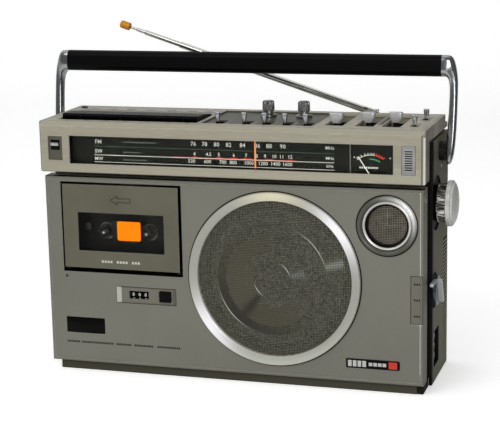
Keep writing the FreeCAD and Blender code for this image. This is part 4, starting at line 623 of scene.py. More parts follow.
# Top plate
# Brushed champagne plate over the works, with the sunk grey control panel, white guide lines
# beside the levers and dots round the knobs, a bright strip behind the keys, a small button at the
# left end, a grey mound between two sliders, and black felt under every slot.
TOP = 239.5
SUNK = TOP - 1.5
plate_metal = finish("plate_metal", (186, 181, 163), (168, 163, 147), 0.38, metal=0.2, patches=55,
                     bump=0.25, edge=0.5, edge_wear_and_highlight_share=0.7, edge_wear_and_highlight=(214, 210, 196), **BRUSHED,
                     boxes=[((-27.3, 9.2, 230), (78.3, 88.3, TOP - 0.25), (88, 88, 79))])
coat_node(plate_metal, "top_plate")
guide_white = finish("guide_white", (206, 206, 198), (190, 190, 182), 0.45, patches=80)
LEVER_X = (-13.0, 12.0, 31.0, 50.0, 69.0)
SLIDER_X = (94.5, 122.0, 146.0)
guide_marks = [(x + 5.2, x + 7.6, y, y + 0.5, SUNK - SINK, SUNK + PRINT)
               for x in LEVER_X for y in np.linspace(12.5, 35.0, 6)]
guide_marks += [(x - 10.6, x - 9.2, y, y + 0.5, TOP - SINK, TOP + PRINT)
                for x in SLIDER_X for y in np.linspace(20, 85, 11)]
piece("guide_marks", [bars(guide_marks)], guide_white, "cabinet")
KNOB_X, KNOB_Y, DOT_REACH = (20.5, 54.5), 66.0, 10.2
dot_angle = np.radians(np.linspace(-135, 135, 11))
dot = spun([(0.45, -SINK), (0.45, PRINT)], 10)
piece("knob_dots", [np.stack([dot + (x + DOT_REACH * math.sin(angle),
                                     KNOB_Y + DOT_REACH * math.cos(angle), SUNK)
                              for x in KNOB_X for angle in dot_angle])],
      guide_white, "cabinet")
strip_metal = finish("strip_metal", (206, 205, 198), (184, 183, 176), 0.25, metal=0.85, patches=40,
                     bump=0.15, **BRUSHED)
piece("key_strip", [turn(slab(134.0, 9.0, 0.8, [(0, -SINK), (0, 0.3), (0.2, 0.45)]),
                         (-98.9, 74.5, TOP), "top")], strip_metal, "cabinet")
KEY_WIDTHS = (19.2, 19.2, 19.2, 19.2, 23.0, 19.2, 14.4)
key_edges = -166.0 + np.concatenate([[0], np.cumsum(KEY_WIDTHS)])
key_middles = (key_edges[1:] + key_edges[:-1]) / 2
piece("key_strip_marks", [bars([(x - 4.5, x + 4.5, 73.6, 75.4, TOP + 0.4, TOP + 0.5)
                                for x in key_middles])], plate_black, "cabinet")
piece("plate_button", [turn(spun([(4.3, -0.5), (4.3, 0.4), (3.9, 0.7), (3.3, 0.7), (3.2, 0.4)], 40),
                            (-169.5, 80.0, TOP), "top")], strip_metal, "cabinet")
piece("plate_button_cap", [turn(spun([(3.1, 0.3), (3.1, 1.2), (2.6, 1.7), (1.4, 1.9), (0, 2.0)], 40),
                                (-169.5, 80.0, TOP), "top")], plate_black, "cabinet")
mound_grey = finish("mound_grey", (128, 127, 118), (112, 111, 103), 0.4, patches=40)
piece("plate_mound", [turn(slab(4.0, 41.0, 1.9, [(0, -SINK), (0, 0.5), (0.5, 1.2), (1.3, 1.6),
                                                 (1.85, 1.7)]), (133.9, 46.5, TOP), "top")],
      mound_grey, "cabinet")
felt = finish("felt", (8, 8, 8), (5, 5, 5), 0.95, tooth=3000, bump=0.5, specular=0.05)
felt_bars = []
for x, y, half, stem, length in ([(x, 10.5, 3.8, 1.3, 28.0) for x in LEVER_X]
                                 + [(165.5, 21.0, 3.8, 1.3, 22.0), (169.0, 58.0, 3.8, 1.3, 22.0)]
                                 + [(x, 16.0, 8.25, 2.25, 73.0) for x in SLIDER_X]):
    for side in (-1, 1):
        low, high = sorted((x + side * (stem + 0.15), x + side * (half + 1.2)))
        felt_bars.append((low, high, y - 1.2, y + length + 1.2, 230.2, 230.8))
piece("slot_felts", [bars(felt_bars)], felt, "cabinet")


# Dial
# Clear window, black scale plate printed with plain figures for three wave bands, an orange
# pointer that runs along it, and a level meter with a white hand at the right end.
def clear_finish(name, tint, haze, index):
    """Smooth glass that lets lamplight through to what is behind it."""
    material = bpy.data.materials.new(name)
    material.use_nodes = True
    tree = material.node_tree
    shader = tree.nodes["Principled BSDF"]
    smear = place_group(tree, grain, Base=shade(*tint), Tone=shade(*tint), Patches=20.0,
                        Tooth=300.0, Roughness=haze, Spread=haze)
    tree.links.new(smear["Roughness"], shader.inputs["Roughness"])
    tree.links.new(smear["Colour"], shader.inputs["Base Color"])
    shader.inputs["Transmission Weight"].default_value = 1.0
    shader.inputs["IOR"].default_value = index
    passing = wire(tree, "ShaderNodeBsdfTransparent", {"Color": (0.9, 0.9, 0.9, 1)})
    shadow = wire(tree, "ShaderNodeLightPath").outputs["Is Shadow Ray"]
    glass = wire(tree, "ShaderNodeMixShader", {0: shadow, 1: shader.outputs[0],
                                               2: passing.outputs[0]})
    tree.links.new(glass.outputs[0], tree.nodes["Material Output"].inputs["Surface"])
    return material


dial_clear = clear_finish("dial_clear", (244, 244, 240), 0.03, 1.1)
coat_node(dial_clear, "dial_glass")
DIAL_FACE = 3.0
dial_black = finish("dial_black", (22, 24, 19), (16, 18, 14), 0.4, patches=20, tooth=1800,
                    bump=0.05, specular=0.15)
coat_node(dial_black, "dial_plate")
# The pointer glows a little, a painted brightness with no lamp behind it.
pointer_orange = finish("pointer_orange", (240, 142, 74), (228, 132, 66), 0.35, patches=60,
                        specular=0.2, glow=0.12)
coat_node(pointer_orange, "dial_pointer")
hand_white = finish("hand_white", (240, 240, 234), (228, 228, 222), 0.4, patches=60)
coat_node(hand_white, "meter_needle")


CAP_SHARE = 0.72


def words(name, rows, material, body, depth=PRINT):
    """Plain figures raised from a face. Each row is (text, cap height, centre, facing), and the
    font's size is the cap height over the share of it that a capital fills."""
    letters = bmesh.new()
    for text, height, centre, facing in rows:
        line = bpy.data.curves.new(name, "FONT")
        line.body = text
        line.size = height / CAP_SHARE
        line.align_x = "CENTER"
        line.align_y = "CENTER"
        line.extrude = depth / 2
        line.offset = 0.004 * height
        line.resolution_u = 2
        holder = bpy.data.objects.new(name, line)
        shape = bpy.data.meshes.new_from_object(holder)
        spots = np.empty(len(shape.vertices) * 3)
        shape.vertices.foreach_get("co", spots)
        spots = spots.reshape(-1, 3) + (0, 0, depth / 2)
        shape.vertices.foreach_set("co", metres(turn(spots, centre, facing)).ravel())
        letters.from_mesh(shape)
        bpy.data.objects.remove(holder)
        bpy.data.meshes.remove(shape)
    bmesh.ops.remove_doubles(letters, verts=letters.verts, dist=1e-8)
    mesh = bpy.data.meshes.new(name)
    letters.to_mesh(mesh)
    letters.free()
    return hang(name, mesh, material, body)


# The white print glows a little, a painted brightness with no lamp behind it.
print_white = finish("print_white", (214, 215, 208), (200, 201, 194), 0.5, patches=60, glow=0.1)
print_green = finish("print_green", (72, 150, 104), (62, 136, 92), 0.5, patches=60)
print_red = finish("print_red", (214, 60, 36), (198, 52, 30), 0.5, patches=60)
FM_ROW, SW_ROW, MW_ROW = 221.4, 212.2, 205.5
figures = [(text, 3.9, x, FM_ROW) for text, x in zip(
    ("76", "78", "80", "82", "84", "86", "88", "90"),
    (-32.3, -21.6, -10.2, 1.2, 14.2, 28.0, 38.9, 51.6))]
figures += [(text, 3.2, x, SW_ROW) for text, x in zip(
    ("4", "4.5", "5", "6", "7", "8", "9", "10", "11", "12"),
    (-31.3, -17.9, -8.2, 5.9, 17.3, 27.2, 35.0, 43.5, 50.4, 58.2))]
figures += [(text, 3.3, x, MW_ROW) for text, x in zip(
    ("530", "600", "700", "800", "1000", "1200", "1400", "1600"),
    (-34.2, -19.0, -4.6, 5.2, 19.9, 33.0, 44.6, 55.6))]
figures += [("FM", 3.9, -124.5, 220.6), ("SW", 3.6, -124.5, 211.8), ("MW", 3.3, -124.5, 204.9),
            ("MHz", 3.0, 94.4, 221.4), ("MHz", 2.8, 94.4, 212.2), ("kHz", 2.8, 94.4, 205.2)]
words("dial_figures", [(text, size, (x, DIAL_FACE, z), "front") for text, size, x, z in figures],
      print_white, "cabinet")
front_print = (DIAL_FACE - PRINT, DIAL_FACE + SINK)


def printed(rows):
    """Flat printed bars x0, x1, z0, z1 on the scale plate."""
    return bars([(x0, x1, *front_print, z0, z1) for x0, x1, z0, z1 in rows])


piece("dial_lines", [printed([(-129.0, 98.5, 208.2, 208.7), (-129.0, 98.5, 201.7, 202.15)])],
      print_white, "cabinet")
caption_marks = [(x, x + 1.3, z - 0.5, z + 0.5) for z, end in ((221.0, -68), (211.6, -83),
                                                               (204.6, -79))
                 for x in np.arange(-100.0, end, MARK_PITCH)]
print_grey = finish("print_grey", (112, 114, 108), (98, 100, 95), 0.5, patches=60)
piece("dial_captions", [printed(caption_marks)], print_grey, "cabinet")
dot_green = finish("dot_green", (92, 122, 100), (80, 108, 88), 0.5, patches=60)
piece("fm_dots", [printed([(x, x + 1.0, 216.2, 216.8) for x in np.arange(-128.5, 99.0, 2.4)])],
      dot_green, "cabinet")
piece("short_wave_bars", [printed([(a, b, 209.0, 209.8) for a, b in (
    (-33, -28.6), (-10.8, -5.3), (2.4, 9.4), (14.5, 22.6), (35, 42.5), (56, 61))]
    + [(-52.0, 64.0, 208.75, 209.15)])], print_red, "cabinet")
piece("dial_divider", [bars([(112.6, 113.2, DIAL_FACE - 1.2, DIAL_FACE + 0.05, 199.5, 228.5)])],
      print_grey, "cabinet")
METER_X, METER_Z = 131.5, 197.5


def arc(radius, thick, start, stop, steps=24):
    """A printed arc about the meter's pivot, from one angle to another off the upright."""
    angle = np.radians(np.linspace(start, stop, steps))[:, None]
    reach = np.array([radius - thick / 2, radius + thick / 2, radius + thick / 2,
                      radius - thick / 2])
    depth = np.array([front_print[0], front_print[0], front_print[1], front_print[1]])
    return np.stack([METER_X + reach * np.sin(angle), depth + 0 * angle,
                     METER_Z + reach * np.cos(angle)], -1)


def tick(radius, length, angle, width):
    """A printed line that points at the meter's pivot."""
    spot = np.radians(angle)
    out = np.array([np.sin(spot), np.cos(spot)])
    side = np.array([out[1], -out[0]]) * width / 2
    ends = [out * radius, out * (radius + length)]
    rings = [[(METER_X + p[0] + s * side[0], y, METER_Z + p[1] + s * side[1])
              for s, y in ((-1, front_print[0]), (1, front_print[0]), (1, front_print[1]),
                           (-1, front_print[1]))] for p in ends]
    return np.array(rings)


piece("meter_scale", [arc(19.0, 0.6, -40, 9), np.stack([
    tick(19.0, 2.0, a, 0.7) for a in (-38, -26, -16, -8, 0, 7)])], print_white, "cabinet")
piece("meter_red", [arc(19.0, 1.0, 10, 36), np.stack([tick(18.4, 2.6, a, 0.8)
                                                      for a in (14, 21, 28, 35)])],
      print_red, "cabinet")
piece("meter_green", [arc(15.3, 0.9, -6, 32)], print_green, "cabinet")
piece("meter_captions", [printed([(x, x + 1.2, 204.4, 206.0)
                                  for x in np.arange(121.0, 138.0, MARK_PITCH)]
                                 + [(112.9 + x, 114.1 + x, 213.6, 214.6) for x in (3.0, 35.0)])],
      print_white, "cabinet")

# Woofer
# Turned aluminium ring round a net of fine wires with two circles pressed into it. The paper
# cone, its soft surround and its cap show through the net.
WOOFER = (42.0, 0.0, 100.2)


def net(reach, pitch, width, rise_at, steps):
    """Two layers of crossing wires clipped to a circle. rise_at gives the net's rise at a radius."""
    layers = []
    for layer in (0, 1):
        place = np.arange(-reach + pitch / 2, reach, pitch)
        half = np.sqrt(reach ** 2 - place ** 2)
        run = half[:, None] * np.linspace(-1, 1, steps)
        place = place[:, None] + 0 * run
        rise = rise_at(np.hypot(run, place)) + (0.35 - 0.7 * layer) * width
        rings = np.empty((*run.shape, 4, 3))
        for corner, (side, up) in enumerate(((-0.5, -0.3), (0.5, -0.3), (0.5, 0.3), (-0.5, 0.3))):
            rings[:, :, corner, layer] = run
            rings[:, :, corner, 1 - layer] = place + side * width
            rings[:, :, corner, 2] = rise + up * width
        layers.append(rings)
    return layers


# The ring's bright sectors are painted highlights where turned metal catches the light, and its glow is
# a painted brightness.
ring_metal = finish("ring_metal", (158, 158, 151), (150, 150, 143), 0.3, metal=0.5, patches=8,
                    tooth=500, bump=0.2, lathe=(WOOFER, (0, 1, 0), 2200.0, 0.7), glow=0.2,
                    fans=[(WOOFER, 270, 1.0, 4.0, (184, 185, 174)),
                          (WOOFER, 38, 2.0, 8.0, (250, 250, 252)),
                          (WOOFER, 90, 1.0, 30.0, (212, 208, 182))])
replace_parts(piece("woofer_trim", [turn(spun([
    (72.3, -4.0), (72.3, 0.7), (72.5, 1.1), (73.0, 1.3), (79.2, 2.9), (79.8, 2.8), (80.2, 2.4),
    (80.3, 1.8), (80.3, -2.5), (83.7, -2.5), (83.7, -4.0)], 144),
    WOOFER, "front")], ring_metal, "cabinet", endless=True), "woofer_ring")
# A thin black ring on the panel round the trim is a painted shadow in the gap.
piece("woofer_gap_shadow", [turn(spun([(80.5, -SINK), (80.5, PRINT), (81.6, PRINT), (81.6, -SINK)], 144),
                          WOOFER, "front")], plate_black, "cabinet", endless=True)
NET_REACH = 72.0


def woofer_rise(reach):
    """The net is a shallow dome, one millimetre high: minus the square of the share of its reach."""
    return -(reach / NET_REACH) ** 2


PRESSING = (WOOFER[0] - 1.5, 0.0, WOOFER[2] - 0.8)
# What is seen through the net at rest and on it: lit stretches of the cone, the shade of an arm of
# the basket, and two narrow glints.
net_fans = [(PRESSING, angle, 1.0, power, colour, inner, outer)
            for angle, power, colour, inner, outer in (
                (195, 7.0, (106, 103, 87), 18, 41.5), (268, 7.0, (99, 96, 81), 26, 43.5),
                (135, 9.0, (100, 98, 83), 28, 43), (231, 220.0, (68, 66, 59), 20, 44),
                (226, 2.5, (70, 67, 61), 43.5, 51.5), (16, 1100.0, (158, 161, 153), 52, 69),
                (14, 260.0, (134, 136, 129), 18, 31))]
net_paint = finish("net_paint", (124, 122, 109), (70, 69, 61), 0.45, metal=0.3, patches=520,
                   specular=0.3, fans=net_fans)
# The pressed circles are painted dark as the shade along them, with painted highlights on two opposite
# sides.
net_line = finish("net_line", (84, 83, 75), (70, 69, 62), 0.4, metal=0.3, patches=300,
                  fans=[(PRESSING, 38, 2.0, 9.0, (188, 189, 181))])
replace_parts(piece("woofer_net", [turn(layer, WOOFER, "front")
                                 for layer in net(NET_REACH, 1.5, 0.55, woofer_rise, 9)],
                  net_paint, "cabinet"), "woofer_grille")
circle_section = ((-0.35, -0.1), (-0.35, 0.5), (0.35, 0.5), (0.35, -0.1))
piece("woofer_circles", [turn(spun([(radius + side, woofer_rise(radius) + rise)
                                    for side, rise in circle_section], 96), PRESSING, "front")
                         for radius in (51.5, 17.2)],
      net_line, "cabinet", endless=True)
cone_paper = finish("cone_paper", (104, 103, 92), (84, 83, 74), 0.85, patches=40, tooth=1500,
                    bump=0.5, lathe=(WOOFER, (0, 1, 0), 500.0, 0.6))
coat_node(cone_paper, "woofer_cone")
surround_rubber = finish("surround_rubber", (30, 30, 27), (22, 22, 20), 0.7, tooth=1800,
                         specular=0.2)
piece("cone_surround", [turn(spun([(69.4, -8.0), (68.9, -6.9), (67.4, -6.3), (65.6, -6.2),
                                   (64.0, -6.9), (62.6, -9.3), (63.4, -9.6), (65.8, -7.0),
                                   (68.2, -7.2), (68.9, -8.2)], 96), WOOFER, "front")],
      surround_rubber, "woofer_cone", endless=True)
piece("cone_cap", [turn(spun([(17.6, -31.5), (17.6, -30.2), (16.2, -27.8), (12.6, -25.4),
                              (7.4, -23.9), (0, -23.4)], 64), WOOFER, "front")],
      cone_paper, "woofer_cone")
driver_steel = finish("driver_steel", (70, 70, 66), (56, 56, 53), 0.45, metal=0.6, patches=30)
coat_node(driver_steel, "speaker_drivers")

# Tweeter
# A grey ring and a bright ring inside it, round a black throat. In the throat lie a domed net of
# fine wires with a cross of two brighter wires on it, a painted glint, and a cloth dome.
TWEETER = (146.0, 0.0, 154.4)
# Both rings carry painted highlights in bright sectors, and the bright ring a glow, a painted
# brightness.
tweeter_metal = finish("tweeter_metal", (212, 212, 208), (202, 202, 198), 0.3, metal=0.5,
                       patches=12, tooth=500, bump=0.2, glow=0.15,
                       lathe=(TWEETER, (0, 1, 0), 2600.0, 0.7),
                       fans=[(TWEETER, 45, 2.0, 6.0, (246, 246, 244))])
tweeter_grey = finish("tweeter_grey", (94, 94, 88), (88, 88, 82), 0.3, metal=0.35,
                      patches=12, tooth=500, lathe=(TWEETER, (0, 1, 0), 2600.0, 0.7),
                      fans=[(TWEETER, 38, 1.0, 7.0, (252, 252, 250))])
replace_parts(piece("tweeter_trim", [turn(spun([
    (22.4, 0.2), (22.5, 0.9), (22.9, 1.6), (23.7, 2.5), (24.5, 2.9), (25.3, 2.8), (26.0, 2.4),
    (26.6, 1.6), (26.9, 0.9), (26.95, 0.3), (26.95, -2.5), (29.4, -2.5), (29.4, -4.0),
    (22.4, -4.0)], 96), TWEETER, "front")], tweeter_grey, "cabinet", endless=True),
    "tweeter_grille")
# A thin black ring on the panel round the trim is a painted shadow in the gap.
piece("tweeter_gap_shadow", [turn(spun([(27.2, -SINK), (27.2, PRINT), (28.0, PRINT), (28.0, -SINK)], 96),
                           TWEETER, "front")], plate_black, "cabinet", endless=True)
piece("tweeter_bright_ring", [turn(spun([
    (19.6, -1.0), (19.7, 0.8), (20.1, 1.5), (20.7, 1.8), (21.2, 1.7), (21.7, 1.1), (21.9, 0.4),
    (21.9, -1.0)], 96), TWEETER, "front")], tweeter_metal, "cabinet",
      endless=True)
piece("tweeter_throat", [turn(spun([(21.9, -3.99), (21.9, -1.05), (19.55, -1.05), (19.5, 0.6),
                                    (19.35, 0.6), (19.3, -3.99)], 96), TWEETER, "front")],
      plate_black, "cabinet", endless=True)
TWEETER_NET = 17.2


def tweeter_rise(reach):
    """The net is a dome: the square of the share of its reach, below a crown in the throat."""
    return -2.0 - 1.5 * (reach / TWEETER_NET) ** 2


tweeter_wire = finish("tweeter_wire", (134, 128, 115), (96, 92, 82), 0.4, metal=0.3, patches=160)
piece("tweeter_net", [turn(layer, TWEETER, "front")
                      for layer in net(TWEETER_NET, 1.5, 0.5, tweeter_rise, 17)],
      tweeter_wire, "cabinet")
# Two brighter wires laid in a cross on the net are a painted glint along its wires.
glint_run = np.linspace(0.8, 15.6, 9)[:, None]
cross = np.empty((2, 9, 4, 3))
for axis in (0, 1):
    cross[axis, ..., axis] = glint_run
    cross[axis, ..., 1 - axis] = (-0.2, 0.2, 0.2, -0.2)
    cross[axis, ..., 2] = tweeter_rise(glint_run) + (0.1, 0.1, 0.4, 0.4)
tweeter_glint_wire = finish("tweeter_glint_wire", (168, 162, 150), (140, 135, 124), 0.4, metal=0.3,
                       patches=300)
piece("tweeter_glint_cross", [turn(cross, TWEETER, "front")], tweeter_glint_wire, "cabinet")
dome_cloth = finish("dome_cloth", (40, 37, 32), (28, 26, 23), 0.8, tooth=2600, bump=0.5,
                    specular=0.15)
piece("tweeter_dome", [turn(spun([(19.2, -3.95), (19.2, -3.6), (13.0, -3.5), (12.6, -3.2),
                                  (10.0, -2.8), (5.5, -2.5), (0, -2.4)], 64), TWEETER, "front")],
      dome_cloth, "cabinet")

# Cassette compartment
# Warm grey door with an outlined arrow and a clear pane. Behind it is the dark well, with an
# orange stop plate between the reel spindles and a tape guide at the left.
# The door's sides and back are black, partly as black moulding and partly as painted shade that darkens
# the gap round the door.
door_paint = finish("door_paint", (101, 99, 84), (92, 90, 77), 0.42, patches=26, tooth=2200,
                    bump=0.15, edge=0.6, edge_wear_and_highlight_share=0.9, edge_wear_and_highlight=(160, 158, 146), specular=0.3,
                    boxes=[((-165.0, -1.2, 95.0), (-40.0, 30.0, 190.0), BLACK_AND_GAP_SHADE)])
coat_node(door_paint, "cassette_door")
pane_clear = clear_finish("pane_clear", (246, 246, 242), 0.04, 1.08)
coat_node(pane_clear, "door_window")
well_black = finish("well_black", (18, 19, 18), (12, 13, 12), 0.5, tooth=1800, bump=0.3,
                    specular=0.2)
coat_node(well_black, "cassette_well")
# The stop plate glows a little, a painted brightness with no lamp behind it.
stop_orange = finish("stop_orange", (244, 122, 0), (240, 116, 0), 0.5, patches=60, specular=0.05,
                     glow=0.12)
piece("stop_plate_face", [turn(slab(23.2, 18.4, 1.8, [(0, -0.1), (0, 0.2), (0.3, 0.5)]),
                               (-99.4, 8.0, 136.2), "front")], stop_orange, "cabinet")


def closed_line(path, width):
    """Printed line round (across, up) corners, as one flat bar for each stretch, which reaches half
    its width past its corners."""
    near = np.array(path, float)
    far = np.roll(near, -1, 0)
    along = (far - near) / np.linalg.norm(far - near, axis=1)[:, None]
    side = np.stack([-along[:, 1], along[:, 0]], -1) * width / 2
    near, far = near - along * width / 2, far + along * width / 2
    bar = np.empty((len(near), 2, 4, 3))
    for ring, end in enumerate((near, far)):
        for corner, (edge, up) in enumerate(((-1, -SINK), (1, -SINK), (1, PRINT), (-1, PRINT))):
            bar[:, ring, corner, :2] = end + edge * side
            bar[:, ring, corner, 2] = up
    return bar


DOOR_FACE = -1.6
arrow = [(-113.2, 167.0), (-106.8, 171.2), (-106.8, 168.9), (-93.8, 168.9), (-93.8, 165.1),
         (-106.8, 165.1), (-106.8, 162.8)]
piece("door_arrow", [turn(closed_line(arrow, 0.5), (0, DOOR_FACE, 0), "front")],
      plate_black, "door")
piece("door_marks", [bars([(x, x + 1.9, DOOR_FACE - PRINT, DOOR_FACE + SINK, 107.3, 109.5)
                           for x in np.concatenate([np.arange(-124.0, -112.5, 2.9),
                                                    np.arange(-109.0, -97.5, 2.9),
                                                    np.arange(-94.0, -86.5, 2.9)])])],
      guide_white, "door")
spindle_black = finish("spindle_black", (34, 33, 31), (24, 23, 22), 0.35, tooth=1200, edge=0.3,
                       edge_wear_and_highlight_share=0.5, edge_wear_and_highlight=(120, 118, 112), specular=0.3)
coat_node(spindle_black, "supply_spindle", "takeup_spindle")
# A small bright cap on each spindle's tip stands for the glint there, a painted highlight.
for x, body in ((-82.75, "supply_spindle"), (-125.25, "takeup_spindle")):
    piece(body + "_cap", [turn(spun([(1.3, -0.2), (1.2, 0.2), (0.9, 0.5), (0, 0.6)], 32),
                               (x, 9.0, 133.8), "front")], strip_metal, body)
piece("tape_guide", [turn(spun([(3.6, -17.6), (3.6, -10.6), (3.2, -10.0), (1.7, -9.8),
                                (1.6, -9.2), (0, -9.0)], 40), (-141.0, 0, 138.7), "front")],
      spindle_black, "cabinet")

# Transport
# Zinc plated deck and motor can, turned steel flywheel, brass pulley, rubber belt and pinch
# roller, and the polished tape head on its bridge.
deck_zinc = finish("deck_zinc", (176, 176, 170), (150, 150, 145), 0.4, metal=0.85, patches=34)
coat_node(deck_zinc, "deck_chassis", "drive_motor")
wheel_steel = finish("wheel_steel", (190, 190, 188), (172, 172, 170), 0.25, metal=0.95, patches=20,
                     lathe=((-135.0, 0, 163.0), (0, 1, 0), 1800.0, 0.7))
coat_node(wheel_steel, "flywheel")
pulley_brass = finish("pulley_brass", (204, 174, 104), (186, 156, 88), 0.3, metal=0.95, patches=40)
coat_node(pulley_brass, "motor_pulley")
rubber = finish("rubber", (28, 28, 28), (22, 22, 22), 0.7, tooth=2400, bump=0.3)
coat_node(rubber, "drive_belt", "pinch_roller")
head_steel = finish("head_steel", (198, 198, 195), (176, 176, 174), 0.22, metal=0.95, patches=60)
coat_node(head_steel, "head_bridge")

# Tape counter
# Sunk grey frame whose ends slope down to the floor, three black number wheels behind a slot,
# with raised white figures round them, and a black reset button.
COUNTER_Z = 77.2
counter_grey = finish("counter_grey", (96, 95, 84), (86, 85, 75), 0.4, patches=60)
counter_lit_paint = finish("counter_lit_paint", (186, 185, 176), (172, 171, 162), 0.35, patches=80)
# A thin black outline round the frame on the panel is a painted shadow.
piece("counter_shadow_outline", [turn(slab(59.2, 16.0, 0.5, [(0, -SINK), (0, PRINT), (0.45, PRINT),
                                                      (0.45, -SINK)]), (-81.6, 0, COUNTER_Z), "front")],
      frame_black, "cabinet", endless=True)
slope_ends = np.array([69.5, 84.9])
# The left slope faces the light and is painted much lighter than the right one: painted light and shade
# on one grey moulding.
for label, foot, top, skin in (("left", -106.3, -110.9, counter_lit_paint),
                               ("right", -55.6, -52.3, counter_grey)):
    corners = np.array([(top, -0.1), (foot, 0.9), (top, 0.95)])
    rings = np.empty((2, 3, 3))
    rings[..., :2] = corners
    rings[..., 2] = slope_ends[:, None]
    piece("counter_slope_" + label, [rings], skin, "cabinet", edge=0.1)
wheel_black = finish("wheel_black", (12, 12, 12), (8, 8, 8), 0.4, patches=60, specular=0.12)
coat_node(wheel_black, "counter_wheels")
AXLE_Y, DIGIT_REACH, WHEEL_X = 10.6, 7.62, (-95.2, -89.2, -83.2)
digit_rows = []
for figure in range(10):
    lean = math.radians(36 * figure)
    outward = (0, -math.cos(lean), math.sin(lean))
    upright = (0, math.sin(lean), math.cos(lean))
    y, z = AXLE_Y + DIGIT_REACH * outward[1], COUNTER_Z + DIGIT_REACH * outward[2]
    digit_rows += [(str(figure), 3.2, (x, y, z), ((1, 0, 0), upright, outward)) for x in WHEEL_X]
words("counter_digits", digit_rows, hand_white, "counter_wheels", depth=0.3)
coat_node(wheel_black, "counter_reset")

# Piano keys
# Seven black moulded keys on one axle, glossy, with their edges painted lighter as a highlight.
# Plain symbols for what they do are printed on the plate in front of them.
key_gloss = finish("key_gloss", (7, 7, 8), (4, 4, 5), 0.35, tooth=900, bump=0.02, edge=0.5,
                   edge_wear_and_highlight_share=0.8, edge_wear_and_highlight=(66, 67, 72), specular=0.1)
coat_node(key_gloss, *["key_%d" % number for number in range(1, 8)])


def prism(outline, low=-SINK, high=PRINT):
    """An outline of (across, up) corners, carried straight from one rise to another."""
    outline = np.array(outline, float)
    return np.stack([np.insert(outline, 2, level, axis=1) for level in (low, high)])


round_angle = np.linspace(0, 2 * np.pi, 20, endpoint=False)
disc = np.stack([np.cos(round_angle), np.sin(round_angle)], -1)
right_mark = np.array([(-0.9, -1.1), (0.9, 0), (-0.9, 1.1)])
left_mark = right_mark * (-1, 1)
bar_mark = np.array([(-0.35, -1.1), (0.35, -1.1), (0.35, 1.1), (-0.35, 1.1)])
square_mark = np.array([(-1, -1), (1, -1), (1, 1), (-1, 1)])
symbols = [[disc * 1.1], [left_mark + (-1, 0), left_mark + (1, 0)],
           [right_mark + (-1, 0), right_mark + (1, 0)], [right_mark * 1.1], [square_mark],
           [bar_mark + (-0.8, 0), bar_mark + (0.8, 0)], [left_mark * 0.9, bar_mark + (1.5, 0)]]
marks = [turn(prism(shape), (x, 6.6, TOP), "top") for x, shapes in zip(key_middles, symbols)
         for shape in shapes]
piece("key_symbols", marks, plate_black, "cabinet")

# Levers and sliders
# Bright plated thumb pieces that flare towards the top, each on a black stem with a shoe that
# keeps it under the plate.
chrome = finish("chrome", (196, 199, 204), (178, 181, 187), 0.2, metal=1.0, patches=24,
                tooth=600, bump=0.03)


def flared(sections, steps=5):
    """Rounded rectangles of (width, depth, rise) joined into one upright body, each with corners of
    0.45 times its lesser side."""
    return np.concatenate([slab(width, depth, min(width, depth) * 0.45, [(0, rise)], steps)
                           for width, depth, rise in sections])


cap_metal = finish("cap_metal", (204, 206, 205), (196, 198, 197), 0.28, metal=0.5, patches=24,
                   tooth=600, bump=0.02, spread=0.04)
LEVER_FORM = [(3.2, 2.7, 0.6), (3.4, 2.8, 2.4), (4.2, 3.0, 4.6), (5.0, 3.0, 7.0), (5.3, 3.0, 8.6),
              (5.2, 2.8, 9.3), (4.4, 2.0, 9.7)]
SLIDER_FORM = [(7.4, 5.4, 0.6), (7.9, 5.6, 1.4), (11.0, 5.9, 4.2), (12.6, 6.0, 5.8),
               (12.7, 6.0, 9.0), (12.4, 5.6, 9.6), (11.6, 4.8, 9.8)]
sliding = [("lever_%d" % number, x, y, LEVER_FORM, 2.6, 7.6) for number, (x, y) in enumerate(
    [(x, 16.5) for x in LEVER_X] + [(165.5, 26.0), (169.0, 63.0)], 1)]
sliding += [("slider_%d" % number, x, y, SLIDER_FORM, 4.5, 16.5) for number, (x, y) in enumerate(
    zip(SLIDER_X, (28.0, 36.0, 40.0)), 1)]
for name, x, y, form, stem, opening in sliding:
    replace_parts(piece(name + "_cap", [turn(flared(form), (x, y, TOP), "top")],
                      chrome if form is LEVER_FORM else cap_metal, name, crease=50), name)
    piece(name + "_shoe", [bars([(x - stem / 2, x + stem / 2, y - stem / 2, y + stem / 2, 228.5,
                                  TOP + 1.4),
                                 (x - opening / 2 - 0.6, x + opening / 2 + 0.6, y - 4.5, y + 4.5,
                                  233.2, 236.2)])], frame_black, name, edge=0.2)

# Turning knobs
# Two plated knobs, each a knurled head over a narrow waist and a smooth flange, with a dark
# pointer line on the top. Their spindles reach down through the plate.
knurl_metal = finish("knurl_metal", (172, 173, 170), (146, 147, 144), 0.22, metal=1.0, patches=40)
for number, x in enumerate(KNOB_X, 1):
    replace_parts(piece("knob_%d_body" % number, [turn(spun([
        (3.0, 228.5 - TOP), (3.0, -1.2), (7.2, -1.2), (7.6, -0.9), (7.6, 0.4), (7.3, 0.8),
        (6.2, 1.3), (5.0, 2.0), (4.8, 4.6), (5.7, 5.0), (5.7, 5.6), (5.7, 11.6), (5.6, 12.4),
        (5.1, 13.2), (4.4, 13.7), (0, 13.7)], 120, teeth=26, depth=0.8, cut=(11, 12)),
        (x, KNOB_Y, TOP), "top")], knurl_metal, "knob_%d" % number), "knob_%d" % number)
    piece("knob_%d_line" % number, [bars([(x - 0.35, x + 0.35, 66.5, 70.0, TOP + 13.6,
                                           TOP + 13.7 + PRINT)])], plate_black,
          "knob_%d" % number)

